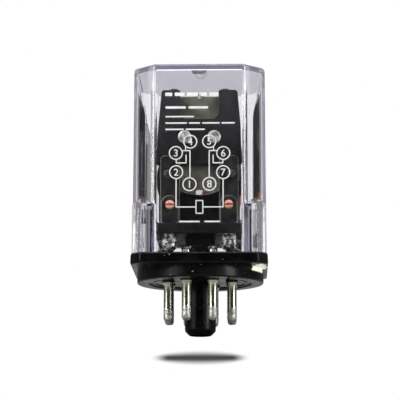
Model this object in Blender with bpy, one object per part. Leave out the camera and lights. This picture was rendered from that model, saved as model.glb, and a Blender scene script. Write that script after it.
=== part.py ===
"""Plug-in relay: eight-pin octal plug, two change-over contacts and a clear, chamfered cover.

Helpers take millimetres from the seating face of the base. put() turns them into metres, with
the origin at the tip of the spigot. +Z runs to the cover's top and -Y is the front, the side
the spigot's key points to. Of mirrored pieces, "left" is at -X and "right" at +X.
Names in _X, _Y or _Z hold a (low, high) pair where a piece spans a range, else one position.
"""

import math

import bmesh
import bpy
from mathutils import Matrix, Vector

MM = 0.001
SEAT_Z = 13.3  # spigot tip to seating face
SIDES = ((-1, "left"), (1, "right"))
CENTRE = (0, 0)

# Side counts of round pieces, from large to small
DISC_SIDES, SPIGOT_SIDES, ROUND, SMALL, SMALLER, SMALLEST = 72, 48, 40, 20, 16, 12

# Dimensions shared between pieces. Places along Y are (x, z) on the right-hand side.
COLUMN_HALF, COLUMN_FOOT = 3.7, 4.2
COIL = (0, 26.2)
CORE_R = 4.0
YOKE_SCREW = (5.0, 17.2)
YOKE_SCREW_HOLE_R = 1.0
YOKE_FOOT_Z = 13.95
SPRING_Z = 47.9
COIL_LEAD = (6.6, -2.7)  # x, y

CONTACT = (8.0, 26.5)
CONTACT_HOLE = (*CONTACT, 0.72, SMALLEST)
LUG_X = 7.4
LUG_TAIL_X = (LUG_X - 1.7, LUG_X + 1.7)
LUG_Y = (-12.0, -11.3)
LUG_SCREW = (LUG_X, 18.5)
LUG_SCREW_HOLE_R = 0.66
NO_TAIL_X = (7.3, 9.5)
NO_Y = (-5.15, -4.45)
COMMON_X, COMMON_Y = (9.9, 10.5), (1.6, 4.4)
TAIL_TOP_Z, BLADE_FOOT_Z = 14.0, 14.2  # where lugs and terminals widen above their tails

RIVET = (3.75, 36.3)
RIVET_HOLE_R = 0.85
STUDS = ((8.9, 32.5), (8.5, 44.8))

for old in list(bpy.data.objects):
    bpy.data.objects.remove(old, do_unlink=True)

relay = bpy.data.collections.new("plug_in_relay")
cutters = bpy.data.collections.new("cutters")
bpy.context.scene.collection.children.link(relay)
bpy.context.scene.collection.children.link(cutters)


# ---------------------------------------------------------------- materials
def material(name, colour, roughness, metallic=0.0, transmission=0.0):
    made = bpy.data.materials.new(name)
    made.use_nodes = True
    shader = made.node_tree.nodes["Principled BSDF"]
    shader.inputs["Base Color"].default_value = (*colour, 1.0)
    shader.inputs["Roughness"].default_value = roughness
    shader.inputs["Metallic"].default_value = metallic
    shader.inputs["Transmission Weight"].default_value = transmission
    made.diffuse_color = (*colour, 0.25 if transmission else 1.0)
    return made


def metal(name, colour, roughness):
    return material(name, colour, roughness, metallic=1.0)


PHENOLIC = material("black_phenolic", colour=(0.012, 0.012, 0.013), roughness=0.28)
MOULDED = material("black_nylon", colour=(0.018, 0.018, 0.02), roughness=0.4)
CLEAR = material(
    "clear_polycarbonate", colour=(0.9, 0.9, 0.95), roughness=0.05, transmission=1.0
)
TINNED = metal("tinned_brass", colour=(0.72, 0.7, 0.66), roughness=0.3)
ZINC = metal("zinc_plated_steel", colour=(0.42, 0.42, 0.34), roughness=0.35)
IRON = metal("soft_iron", colour=(0.4, 0.39, 0.36), roughness=0.4)
COPPER = metal("copper", colour=(0.8, 0.35, 0.18), roughness=0.3)
SILVER = metal("silver_alloy", colour=(0.85, 0.84, 0.8), roughness=0.25)
BRONZE = metal("phosphor_bronze", colour=(0.72, 0.48, 0.25), roughness=0.3)
BRASS = metal("brass_sheet", colour=(0.75, 0.6, 0.3), roughness=0.3)
BLACKENED = material(
    "blackened_steel", colour=(0.03, 0.03, 0.03), roughness=0.35, metallic=0.8
)
ENAMEL = material("enamelled_wire", colour=(0.45, 0.12, 0.04), roughness=0.35, metallic=0.6)
TAPE = material("black_tape", colour=(0.02, 0.02, 0.02), roughness=0.55)
SPRING_STEEL = metal("spring_steel", colour=(0.6, 0.6, 0.6), roughness=0.3)
SLEEVE_RED = material("red_wire_sleeve", colour=(0.4, 0.03, 0.02), roughness=0.45)
SLEEVE_WHITE = material("white_wire_sleeve", colour=(0.6, 0.6, 0.56), roughness=0.45)


# ---------------------------------------------------------------- places and outlines
DIRECTIONS = {"X": (1, 0, 0), "Y": (0, 1, 0), "Z": (0, 0, 1)}


def put(x, y, z):
    """A point in millimetres from the seating face, in metres from the spigot's tip."""
    return Vector((x * MM, y * MM, (z + SEAT_Z) * MM))


def place(axis, first, second, along):
    """A point from its distance along an axis and its other two coordinates."""
    spots = {"X": (along, first, second), "Y": (first, along, second), "Z": (first, second, along)}
    return put(*spots[axis])


def at_side(side, point):
    """A right-hand point, or one mirrored in x when side is -1."""
    return (side * point[0], *point[1:])


def on_side(side, points):
    return [at_side(side, point) for point in points]


def symmetric(right_half):
    """A closed outline from its right half, listed upwards."""
    return right_half + on_side(-1, right_half)[::-1]


def across(side, pair):
    """A range of x carried to one side."""
    return side * pair[0], side * pair[1]


def grown(pair, gap):
    return pair[0] - gap, pair[1] + gap


def around(middle, half):
    return middle - half, middle + half


def arc(first, second, radius, start, end, steps):
    """Points on an arc from start to end degrees, both ends included."""
    angles = [math.radians(start + (end - start) * i / steps) for i in range(steps + 1)]
    return [(first + radius * math.cos(a), second + radius * math.sin(a)) for a in angles]


def octagon(half, corner):
    """A square outline with its corners cut off at 45 degrees."""
    inner = half - corner
    return [
        (half, -inner), (half, inner), (inner, half), (-inner, half),
        (-half, inner), (-half, -inner), (-inner, -half), (inner, -half),
    ]


def eased(points, steps=4):
    """A Catmull-Rom line through the points."""

    def blend(before, start, end, after, t):
        return 0.5 * (
            2 * start
            + (end - before) * t
            + (2 * before - 5 * start + 4 * end - after) * t**2
            + (3 * start - before - 3 * end + after) * t**3
        )

    held = [points[0], *points, points[-1]]
    line = []
    for group in zip(held, held[1:], held[2:], held[3:]):
        for i in range(steps):
            line.append(tuple(blend(*values, i / steps) for values in zip(*group)))
    return [*line, points[-1]]


# ---------------------------------------------------------------- shapes
def block(mesh, x, y, z):
    """A box between the pairs x, y and z."""
    made = bmesh.ops.create_cube(mesh, size=1.0)["verts"]
    size = [abs(pair[1] - pair[0]) * MM for pair in (x, y, z)]
    bmesh.ops.scale(mesh, vec=size, verts=made)
    bmesh.ops.translate(mesh, vec=put(sum(x) / 2, sum(y) / 2, sum(z) / 2), verts=made)


def rod(mesh, axis, at, low, high, radius, sides=SMALL):
    """A cylinder along axis Y or Z. at holds its other two coordinates."""
    turn = Matrix.Rotation(math.radians(90), 4, "X") if axis == "Y" else Matrix()
    bmesh.ops.create_cone(
        mesh,
        cap_ends=True,
        segments=sides,
        radius1=radius * MM,
        radius2=radius * MM,
        depth=(high - low) * MM,
        matrix=Matrix.Translation(place(axis, *at, (low + high) / 2)) @ turn,
    )


def turned(mesh, axis, at, profile, sides=SMALL, ring=False):
    """A body turned from (radius, position along the axis) pairs. A ring's profile is closed."""
    points = [
        mesh.verts.new(place(axis, at[0] + radius, at[1], along)) for radius, along in profile
    ]
    pairs = list(zip(points, points[1:]))
    if ring:
        pairs.append((points[-1], points[0]))
    edges = [mesh.edges.new(pair) for pair in pairs]
    bmesh.ops.spin(
        mesh,
        geom=points + edges,
        cent=place(axis, *at, 0),
        axis=DIRECTIONS[axis],
        angle=math.tau,
        steps=sides,
        use_merge=True,
    )
    bmesh.ops.remove_doubles(mesh, verts=mesh.verts, dist=1e-6)


def prism(mesh, axis, outline, low, high, holes=()):
    """An outline with round holes (first, second, radius, sides), pushed along an axis.

    Returns the vertices of the pushed end.
    """
    edges = []
    for loop in [outline] + [arc(*hole[:3], 0, 360, hole[3])[:-1] for hole in holes]:
        verts = [mesh.verts.new(place(axis, *point, low)) for point in loop]
        edges += [mesh.edges.new(pair) for pair in zip(verts, verts[1:] + verts[:1])]
    if holes:
        made = bmesh.ops.triangle_fill(mesh, use_beauty=True, edges=edges)["geom"]
    else:
        made = bmesh.ops.contextual_create(mesh, geom=edges)["faces"]
    faces = [item for item in made if isinstance(item, bmesh.types.BMFace)]
    pushed = bmesh.ops.extrude_face_region(mesh, geom=faces)["geom"]
    moved = [item for item in pushed if isinstance(item, bmesh.types.BMVert)]
    push = Vector(DIRECTIONS[axis]) * (high - low) * MM
    bmesh.ops.translate(mesh, vec=push, verts=moved)
    return moved


def only(shape, *sizes, **options):
    """A new mesh that holds one shape."""
    mesh = bmesh.new()
    shape(mesh, *sizes, **options)
    return mesh


def soften(mesh, edges, width, segments=1):
    bmesh.ops.bevel(
        mesh, geom=edges, offset=width * MM, segments=segments, affect="EDGES", profile=0.5
    )


def level(mesh, z):
    """Edges that lie at height z."""
    height = (z + SEAT_Z) * MM
    return [
        edge for edge in mesh.edges if all(abs(vert.co.z - height) < 1e-7 for vert in edge.verts)
    ]


def not_level(mesh, z):
    """All edges but those at height z."""
    skipped = set(level(mesh, z))
    return [edge for edge in mesh.edges if edge not in skipped]


def upright(mesh):
    """Edges that run more up than across."""
    return [
        edge
        for edge in mesh.edges
        if abs(edge.verts[0].co.z - edge.verts[1].co.z) > 0.8 * edge.calc_length()
    ]


# ---------------------------------------------------------------- objects
def finished(name, mesh):
    """An unlinked object from a mesh under construction, which is freed."""
    bmesh.ops.remove_doubles(mesh, verts=mesh.verts, dist=1e-7)
    bmesh.ops.recalc_face_normals(mesh, faces=mesh.faces)
    data = bpy.data.meshes.new(name)
    mesh.to_mesh(data)
    mesh.free()
    return bpy.data.objects.new(name, data)


def piece(name, look, mesh):
    """A visible piece of the relay, smooth but for its sharper edges."""
    obj = finished(name, mesh)
    relay.objects.link(obj)
    obj.data.materials.append(look)
    obj.data.shade_smooth()
    obj.data.set_sharp_from_angle(angle=math.radians(32))
    return obj


def boolean(obj, name, mesh, operation):
    """Makes a hidden helper and applies it to obj as a boolean modifier."""
    helper = finished(name, mesh)
    cutters.objects.link(helper)
    helper.hide_render = True
    helper.display_type = "WIRE"
    step = obj.modifiers.new(name, "BOOLEAN")
    step.operation = operation
    step.object = helper
    step.solver = "EXACT"


def join(obj, name, mesh):
    boolean(obj, name, mesh, "UNION")


def cut(obj, name, mesh):
    boolean(obj, name, mesh, "DIFFERENCE")


def slotted_screw(kind, word, look, at, profile, slot_half, slot_y, slot_half_width):
    """A screw along Y with a level slot across its head."""
    screw = piece(f"{kind}_screw_{word}", look, only(turned, "Y", at, profile))
    slot = only(block, around(at[0], slot_half), slot_y, around(at[1], slot_half_width))
    cut(screw, f"{kind}_screw_slot_{word}", slot)


def contact(name, side, profile):
    return piece(name, SILVER, only(turned, "Y", at_side(side, CONTACT), profile))


def wire(name, points, radius, look):
    """A round wire through the points, with capped ends."""
    guide = bpy.data.curves.new(name, "CURVE")
    guide.dimensions = "3D"
    guide.bevel_depth = radius * MM
    guide.bevel_resolution = 1
    guide.use_fill_caps = True
    line = guide.splines.new("POLY")
    line.points.add(len(points) - 1)
    for point, at in zip(line.points, points):
        point.co = (*put(*at), 1.0)
    obj = bpy.data.objects.new(name, guide)
    obj.data.materials.append(look)
    relay.objects.link(obj)


# ---------------------------------------------------------------- base and pins
DISC_R, DISC_H = 16.15, 3.5
RECESS_R, RECESS_DEPTH = 13.2, 0.4
FLANGE_HALF, FLANGE_Z, FLANGE_CHAMFER, FLANGE_DRAFT = 17.2, (3.2, 5.9), 2.5, 0.12
SPIGOT_R, SPIGOT_CHAMFER = 3.95, 1.1
KEY_HALF, KEY_Y, KEY_BEVEL, KEY_END = 1.15, -5.2, 0.35, -10.7
SOCKET_GAP = 0.12  # between the frame's column and the base

PIN_COUNT, PIN_CIRCLE_R = 8, 8.725
PIN_R, PIN_END, PIN_TAIL = 1.18, -10.1, 8.0
PIN_HOLE_R, COLLAR_R = 1.27, 1.6
PIN_ANGLES = [math.radians((n + 0.5) * 360 / PIN_COUNT) for n in range(PIN_COUNT)]
PIN_SPOTS = [(PIN_CIRCLE_R * math.sin(a), -PIN_CIRCLE_R * math.cos(a)) for a in PIN_ANGLES]

# (radius, z)
DISC_PROFILE = [(0, 0), (DISC_R - 0.4, 0), (DISC_R, 0.4), (DISC_R, DISC_H), (0, DISC_H)]
SPIGOT_PROFILE = [
    (0, -SEAT_Z),
    (SPIGOT_R - SPIGOT_CHAMFER - 0.3, -SEAT_Z),
    (SPIGOT_R - SPIGOT_CHAMFER, -SEAT_Z + 0.15),
    (SPIGOT_R, -SEAT_Z + SPIGOT_CHAMFER + 0.2),
    (SPIGOT_R, 2.2),
    (0, 2.2),
]
COLLAR_PROFILE = [(0, 0.03), (COLLAR_R - 0.15, 0.03), (COLLAR_R, 0.18), (COLLAR_R, 1.4), (0, 1.4)]
PIN_PROFILE = [
    (0, PIN_END), (0.5, PIN_END + 0.06), (0.92, PIN_END + 0.32), (PIN_R, PIN_END + 0.85),
    (PIN_R, PIN_TAIL - 0.3), (PIN_R - 0.25, PIN_TAIL), (0, PIN_TAIL),
]
# Right halves: (x, y) and (x, z)
KEY_OUTLINE = [(KEY_HALF - KEY_BEVEL, KEY_Y), (KEY_HALF, KEY_Y + KEY_BEVEL), (KEY_HALF, -2)]
TONGUE_OUTLINE = [(2.5, 5.0), (2.5, 6.1), (1.7, 7.7)]


def flange_mesh():
    """The chamfered square flange, drawn in slightly towards its top."""
    mesh = bmesh.new()
    top = prism(mesh, "Z", octagon(FLANGE_HALF, FLANGE_CHAMFER), *FLANGE_Z)
    shrink = (FLANGE_HALF - FLANGE_DRAFT) / FLANGE_HALF
    bmesh.ops.scale(mesh, vec=(shrink, shrink, 1), verts=top)
    soften(mesh, mesh.edges[:], 0.35, 2)
    return mesh


def build_base():
    base = piece("base", PHENOLIC, only(turned, "Z", CENTRE, DISC_PROFILE, DISC_SIDES))
    recess = only(rod, "Z", CENTRE, -1, RECESS_DEPTH, RECESS_R, DISC_SIDES)
    cut(base, "base_recess", recess)
    join(base, "base_flange", flange_mesh())
    join(base, "base_spigot", only(turned, "Z", CENTRE, SPIGOT_PROFILE, SPIGOT_SIDES))

    key = only(prism, "Z", symmetric(KEY_OUTLINE), KEY_END, 1.6)
    soften(key, level(key, KEY_END), 0.3)
    join(base, "base_key", key)

    collars = bmesh.new()
    holes = bmesh.new()
    for spot in PIN_SPOTS:
        turned(collars, "Z", spot, COLLAR_PROFILE)
        rod(holes, "Z", spot, -1.0, 7.0, PIN_HOLE_R)
    join(base, "base_collars", collars)
    join(base, "base_tongue", only(prism, "Y", symmetric(TONGUE_OUTLINE), -15.2, -14.2))
    cut(base, "base_pin_holes", holes)

    socket = around(0, COLUMN_HALF + SOCKET_GAP)
    cut(base, "base_socket", only(block, socket, socket, (COLUMN_FOOT - SOCKET_GAP, 8)))


def build_pins():
    for number, spot in enumerate(PIN_SPOTS, 1):
        piece(f"pin_{number}", TINNED, only(turned, "Z", spot, PIN_PROFILE, SMALLER))


# ---------------------------------------------------------------- frame block
DECK_HALF, DECK_Y, DECK_Z, DECK_CORNER = 11.2, (-12.8, 13.6), (11.2, 13.8), 0.8
ROOT_Z = 12.4  # height inside the deck where column, posts and upstand end
THROUGH_DECK = (10, 15)
POST_X, POST_Y, POST_TOP = (5.0, 10.2), (-10.35, -5.5), 21.2
UPSTAND_HALF, UPSTAND_Y, UPSTAND_TOP = 8.0, (12.15, DECK_Y[1] - 0.05), 19.2

DECK_OUTLINE = [  # right half: x, y
    (DECK_HALF - DECK_CORNER, DECK_Y[0]),
    (DECK_HALF, DECK_Y[0] + DECK_CORNER),
    (DECK_HALF, DECK_Y[1] - DECK_CORNER),
    (DECK_HALF - DECK_CORNER, DECK_Y[1]),
]


def build_frame_block():
    deck = only(prism, "Z", symmetric(DECK_OUTLINE), *DECK_Z)
    soften(deck, deck.edges[:], 0.18)
    frame = piece("frame_block", MOULDED, deck)

    column_span = around(0, COLUMN_HALF)
    column = only(block, column_span, column_span, (COLUMN_FOOT, ROOT_Z))
    soften(column, upright(column), 0.4)
    join(frame, "frame_column", column)

    posts, slots, holes = bmesh.new(), bmesh.new(), bmesh.new()
    for side, _ in SIDES:
        block(posts, across(side, POST_X), POST_Y, (ROOT_Z, POST_TOP))
        for slot_x, slot_y in (
            (grown(LUG_TAIL_X, 0.2), LUG_Y),
            (grown(NO_TAIL_X, 0.1), NO_Y),
            (grown(COMMON_X, 0.1), COMMON_Y),
        ):
            block(slots, across(side, slot_x), grown(slot_y, 0.1), THROUGH_DECK)
        rod(holes, "Z", at_side(side, COIL_LEAD), *THROUGH_DECK, 0.55, SMALLEST)
        rod(holes, "Y", at_side(side, LUG_SCREW), -11.5, -7.8, LUG_SCREW_HOLE_R, SMALLER)
        rod(holes, "Y", at_side(side, YOKE_SCREW), 11.5, 15, YOKE_SCREW_HOLE_R, SMALLER)
    soften(posts, level(posts, POST_TOP) + upright(posts), 0.3)
    join(frame, "frame_posts", posts)

    upstand = only(block, around(0, UPSTAND_HALF), UPSTAND_Y, (ROOT_Z, UPSTAND_TOP))
    soften(upstand, level(upstand, UPSTAND_TOP), 0.3)
    join(frame, "frame_upstand", upstand)
    cut(frame, "frame_slots", slots)
    cut(frame, "frame_holes", holes)


# ---------------------------------------------------------------- magnet
YOKE_HALF, YOKE_T, YOKE_FRONT, YOKE_BACK, YOKE_TOP = 8.0, 1.5, -6.4, 12.0, 46.0
YOKE_INNER_BEND = 0.8
YOKE_OUTER_BEND = YOKE_INNER_BEND + YOKE_T
YOKE_BEND = (YOKE_BACK - YOKE_OUTER_BEND, YOKE_TOP - YOKE_OUTER_BEND)  # centre: y, z
THROUGH_YOKE = (9.5, 13)
PRONG_X, PRONG_FRONT = (6.1, 7.6), -7.6
POLE_R, POLE_Y = 4.3, -5.2
BOBBIN_Y, BOBBIN_R, BOBBIN_WALL, HUB_R = (-4.3, 10.2), 11.2, 1.0, 5.0
COIL_GAP = 0.15
WINDING_R, TAPE_R = 9.0, (9.12, 9.45)
WINDING_Y = grown(BOBBIN_Y, -BOBBIN_WALL - COIL_GAP)

YOKE_OUTLINE = [  # y, z
    (YOKE_BACK - YOKE_T, YOKE_FOOT_Z),
    (YOKE_BACK, YOKE_FOOT_Z),
    *arc(*YOKE_BEND, YOKE_OUTER_BEND, 0, 90, 6),
    (YOKE_FRONT, YOKE_TOP),
    (YOKE_FRONT, YOKE_TOP - YOKE_T),
    *arc(*YOKE_BEND, YOKE_INNER_BEND, 90, 0, 4),
]
# (radius, y)
YOKE_SCREW_PROFILE = [
    (0, 10.35), (0.7, 10.35), (0.88, 10.6), (0.88, 13.62),
    (1.75, 13.62), (1.75, 14.1), (1.3, 14.55), (0, 14.62),
]
CORE_PROFILE = [
    (0, POLE_Y), (POLE_R - 0.2, POLE_Y), (POLE_R, POLE_Y + 0.2),
    (POLE_R, BOBBIN_Y[0] - COIL_GAP), (CORE_R, BOBBIN_Y[0] - COIL_GAP),
    (CORE_R, 10.35), (2.4, 10.35), (2.4, 12.15), (3.1, 12.15), (2.6, 12.75), (0, 12.85),
]
BOBBIN_PROFILE = [
    (CORE_R + COIL_GAP, BOBBIN_Y[0]),
    (BOBBIN_R - 0.2, BOBBIN_Y[0]),
    (BOBBIN_R, BOBBIN_Y[0] + 0.2),
    (BOBBIN_R, BOBBIN_Y[0] + BOBBIN_WALL),
    (HUB_R, BOBBIN_Y[0] + BOBBIN_WALL),
    (HUB_R, BOBBIN_Y[1] - BOBBIN_WALL),
    (BOBBIN_R, BOBBIN_Y[1] - BOBBIN_WALL),
    (BOBBIN_R, BOBBIN_Y[1] - 0.2),
    (BOBBIN_R - 0.2, BOBBIN_Y[1]),
    (CORE_R + COIL_GAP, BOBBIN_Y[1]),
]


def build_yoke():
    yoke = piece("yoke", ZINC, only(prism, "X", YOKE_OUTLINE, -YOKE_HALF, YOKE_HALF))
    prongs = bmesh.new()
    prong_z = (YOKE_TOP - YOKE_T + 0.02, YOKE_TOP - 0.02)
    holes = only(rod, "Y", COIL, *THROUGH_YOKE, 2.55, sides=24)
    for side, _ in SIDES:
        block(prongs, across(side, PRONG_X), (PRONG_FRONT, YOKE_FRONT + 1), prong_z)
        rod(holes, "Y", at_side(side, YOKE_SCREW), *THROUGH_YOKE, YOKE_SCREW_HOLE_R, SMALLER)
    rod(holes, "Y", (0, SPRING_Z), *THROUGH_YOKE, 0.55, SMALLEST)
    join(yoke, "yoke_prongs", prongs)

    lug_outline = [(-1.6, 43), (1.6, 43), *arc(0, SPRING_Z, 1.6, 0, 180, 10)]
    lug = only(prism, "Y", lug_outline, YOKE_BACK - YOKE_T + 0.03, YOKE_BACK - 0.03)
    join(yoke, "yoke_spring_lug", lug)
    cut(yoke, "yoke_holes", holes)


def build_yoke_screws():
    for side, word in SIDES:
        slotted_screw(
            "yoke", word, SPRING_STEEL, at_side(side, YOKE_SCREW), YOKE_SCREW_PROFILE,
            slot_half=2.2, slot_y=(14.2, 15.2), slot_half_width=0.22,
        )


def coil_sleeve(name, look, inner, outer, low, high):
    profile = [(inner, low), (outer, low), (outer, high), (inner, high)]
    piece(name, look, only(turned, "Y", COIL, profile, ROUND, ring=True))


def build_coil():
    piece("core", IRON, only(turned, "Y", COIL, CORE_PROFILE, ROUND))
    piece("bobbin", MOULDED, only(turned, "Y", COIL, BOBBIN_PROFILE, ROUND, ring=True))
    coil_sleeve("coil_winding", ENAMEL, HUB_R + COIL_GAP, WINDING_R, *WINDING_Y)
    coil_sleeve("coil_tape", TAPE, *TAPE_R, *grown(WINDING_Y, -0.15))


# ---------------------------------------------------------------- armature and contact carrier
PIVOT_Y, PIVOT_Z = -6.0, 45.25
ARM_HALF, ARM_Y, ARM_FOOT, ARM_CORNER_Z, ARM_TOP = 5.85, (-8.0, -6.6), 21.6, 23.2, 47.3
CARRIER_Y, CARRIER_FOOT, CARRIER_TOP = (-10.0, -8.15), 29.2, 48.6
CARRIER_HALF_LOW, CARRIER_HALF_TOP = 11.2, 9.7
NOTCH_HALF, NOTCH_Z = 4.9, 41.1
RIVET_R = 1.7
LEAF_X, LEAF_Y, LEAF_Z = (6.2, 10.2), (-8.05, -7.75), (25.0, 48.3)

# Right halves: (x, z)
ARM_SIDE = [
    (ARM_HALF, ARM_TOP - 0.6), (ARM_HALF - 0.6, ARM_TOP), (0.7, ARM_TOP), (0.5, ARM_TOP - 0.55),
]
CARRIER_OUTLINE = [
    (CARRIER_HALF_LOW - 0.5, CARRIER_FOOT),
    (CARRIER_HALF_LOW, CARRIER_FOOT + 0.5),
    (CARRIER_HALF_LOW - 0.1, CARRIER_FOOT + 3.0),
    (CARRIER_HALF_TOP, CARRIER_TOP - 0.5),
    (CARRIER_HALF_TOP - 0.5, CARRIER_TOP),
    (NOTCH_HALF + 0.2, CARRIER_TOP),
    (NOTCH_HALF, CARRIER_TOP - 0.3),
    (NOTCH_HALF, NOTCH_Z + 1.2),
    (NOTCH_HALF - 1.2, NOTCH_Z),
]
# (radius, y)
RIVET_PROFILE = [
    (0, -10.5), (RIVET_R - 0.5, -10.45), (RIVET_R - 0.1, -10.25), (RIVET_R, -10.05),
    (0.74, -10.05), (0.74, -6.55), (1.4, -6.55), (1.1, -6.15), (0, -6.1),
]
MOVING_CONTACT_PROFILE = [
    (0, -9.2), (0.7, -9.2), (1.3, -9.0), (1.3, -8.12), (0.6, -8.12),
    (0.6, -7.68), (1.3, -7.68), (1.3, -7.2), (0.7, -7.0), (0, -7.0),
]


def leaf_outline():
    """The right moving spring as (x, z), with a tab at its upper inner corner."""
    inner, outer = LEAF_X
    low, high = LEAF_Z
    return [
        (inner, low + 1.2), (inner + 0.8, low), (outer - 0.8, low), (outer, low + 1.2),
        (outer, high - 8.0), (outer - 0.6, high - 1.4), (outer - 1.1, high),
        (7.5, high), (7.5, 49.1), (7.3, 49.3), (5.7, 49.3), (5.5, 49.1), (5.5, high),
        (inner, high - 0.6),
    ]


def build_armature():
    """A plate with a bowed foot and a small notch in its top."""
    sag = ARM_CORNER_Z - ARM_FOOT
    edge_r = (ARM_HALF**2 + sag**2) / (2 * sag)
    spread = math.degrees(math.asin(ARM_HALF / edge_r))
    foot = arc(0, ARM_FOOT + edge_r, edge_r, 270 - spread, 270 + spread, 12)
    holes = [at_side(side, (*RIVET, RIVET_HOLE_R, SMALLER)) for side, _ in SIDES]
    plate = only(prism, "Y", foot + symmetric(ARM_SIDE), *ARM_Y, holes)
    return piece("armature", ZINC, plate)


def build_carrier():
    plate = only(prism, "Y", symmetric(CARRIER_OUTLINE), *CARRIER_Y)
    soften(plate, plate.edges[:], 0.14)
    carrier = piece("contact_carrier", MOULDED, plate)
    studs, holes = bmesh.new(), bmesh.new()
    for side, _ in SIDES:
        for stud in STUDS:
            rod(studs, "Y", at_side(side, stud), -9.2, -7.4, 0.6, SMALLEST)
        rod(holes, "Y", at_side(side, RIVET), -11, -7, RIVET_HOLE_R, SMALLER)
    join(carrier, "carrier_studs", studs)
    cut(carrier, "carrier_holes", holes)
    return carrier


def build_moving_side(side, word):
    """The rivet, spring and contact of one side."""
    rivet = only(turned, "Y", at_side(side, RIVET), RIVET_PROFILE)
    holes = on_side(side, [CONTACT_HOLE] + [(*stud, 0.7, SMALLEST) for stud in STUDS])
    leaf = only(prism, "Y", on_side(side, leaf_outline()), *LEAF_Y, holes)
    return [
        piece(f"carrier_rivet_{word}", SILVER, rivet),
        piece(f"moving_spring_{word}", BRONZE, leaf),
        contact(f"moving_contact_{word}", side, MOVING_CONTACT_PROFILE),
    ]


def build_swinging_parts():
    """All that moves with the armature, parented to an empty at its pivot."""
    pivot = bpy.data.objects.new("armature_pivot", None)
    pivot.location = put(0, PIVOT_Y, PIVOT_Z)
    relay.objects.link(pivot)
    swung = [build_armature(), build_carrier()]
    for side, word in SIDES:
        swung += build_moving_side(side, word)
    for part in swung:
        for obj in (part, *(step.object for step in part.modifiers)):
            obj.data.transform(Matrix.Translation(-pivot.location))
            obj.parent = pivot


# ---------------------------------------------------------------- fixed contacts
NC_X, NC_Y, NC_TOP = (4.95, 9.85), (-11.2, -10.5), 31.3
NO_X, NO_TOP = (6.2, 9.8), 29.0
TERMINAL_CORNER = 0.8
LUG_R, LUG_TOP, LUG_END = 2.2, 21.0, 7.0
LUG_SCREW_HOLE = (*LUG_SCREW, LUG_SCREW_HOLE_R, SMALLEST)

# (radius, y)
NC_CONTACT_PROFILE = [
    (0, -11.75), (0.8, -11.7), (1.1, -11.5), (1.1, -11.28), (0.6, -11.28),
    (0.6, -10.42), (1.5, -10.42), (1.5, -9.5), (1.1, -9.25), (0, -9.25),
]
NO_CONTACT_PROFILE = [
    (0, -5.84), (1.1, -5.84), (1.5, -5.64), (1.5, -5.22), (0.6, -5.22), (0.6, -4.47), (0, -4.47),
]
LUG_SCREW_PROFILE = [
    (0, -12.95), (0.8, -12.92), (1.15, -12.65), (1.15, -12.07),
    (0.56, -12.07), (0.56, -8.3), (0.3, -8.0), (0, -8.0),
]


def terminal_top(span, top):
    """The bevelled upper end of a terminal, from its outer to its inner edge."""
    inner, outer = span
    corner = TERMINAL_CORNER
    return [
        (outer, top - corner), (outer - corner, top), (inner + corner, top), (inner, top - corner),
    ]


def tail(span, end):
    """The foot of a tail with small bevels, from its inner to its outer edge."""
    inner, outer = span
    return [(inner, end + 0.4), (inner + 0.4, end), (outer - 0.4, end), (outer, end + 0.4)]


# Right-hand outlines: (x, z), but (y, z) for the common lug
NC_OUTLINE = [(NC_X[0], YOKE_FOOT_Z), (NC_X[1], YOKE_FOOT_Z), *terminal_top(NC_X, NC_TOP)]
NO_OUTLINE = [
    *tail(NO_TAIL_X, 8.4),
    (NO_TAIL_X[1], TAIL_TOP_Z),
    (NO_X[1], BLADE_FOOT_Z),
    *terminal_top(NO_X, NO_TOP),
    (NO_X[0], BLADE_FOOT_Z),
    (NO_TAIL_X[0], TAIL_TOP_Z),
]
LUG_OUTLINE = [
    *tail(LUG_TAIL_X, LUG_END),
    (LUG_TAIL_X[1], TAIL_TOP_Z),
    (LUG_X + LUG_R, BLADE_FOOT_Z),
    *arc(LUG_X, LUG_TOP - LUG_R, LUG_R, 0, 180, 12),
    (LUG_X - LUG_R, BLADE_FOOT_Z),
    (LUG_TAIL_X[0], TAIL_TOP_Z),
]
COMMON_OUTLINE = [
    (COMMON_Y[0] + 0.3, 8.9), (COMMON_Y[0] + 0.6, 8.6),
    (COMMON_Y[1] - 0.6, 8.6), (COMMON_Y[1] - 0.3, 8.9),
    (COMMON_Y[1], BLADE_FOOT_Z), (COMMON_Y[1], 16.2), (COMMON_Y[1] - 0.8, 17.0),
    (COMMON_Y[0] + 0.8, 17.0), (COMMON_Y[0], 16.2), (COMMON_Y[0], BLADE_FOOT_Z),
]
# name: material, outline, y range, holes
SHEETS = {
    "nc_terminal": (BLACKENED, NC_OUTLINE, NC_Y, [CONTACT_HOLE, LUG_SCREW_HOLE]),
    "nc_lug": (TINNED, LUG_OUTLINE, LUG_Y, [LUG_SCREW_HOLE]),
    "no_terminal": (BRASS, NO_OUTLINE, NO_Y, [CONTACT_HOLE]),
}


def build_fixed_side(side, word):
    for name, (look, outline, span, holes) in SHEETS.items():
        sheet = only(prism, "Y", on_side(side, outline), *span, on_side(side, holes))
        piece(f"{name}_{word}", look, sheet)
    contact(f"nc_contact_{word}", side, NC_CONTACT_PROFILE)
    contact(f"no_contact_{word}", side, NO_CONTACT_PROFILE)
    slotted_screw(
        "lug", word, COPPER, at_side(side, LUG_SCREW), LUG_SCREW_PROFILE,
        slot_half=1.5, slot_y=(-13.5, -12.6), slot_half_width=0.16,
    )
    common = only(prism, "X", COMMON_OUTLINE, *sorted(across(side, COMMON_X)))
    piece(f"common_lug_{word}", TINNED, common)


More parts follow.
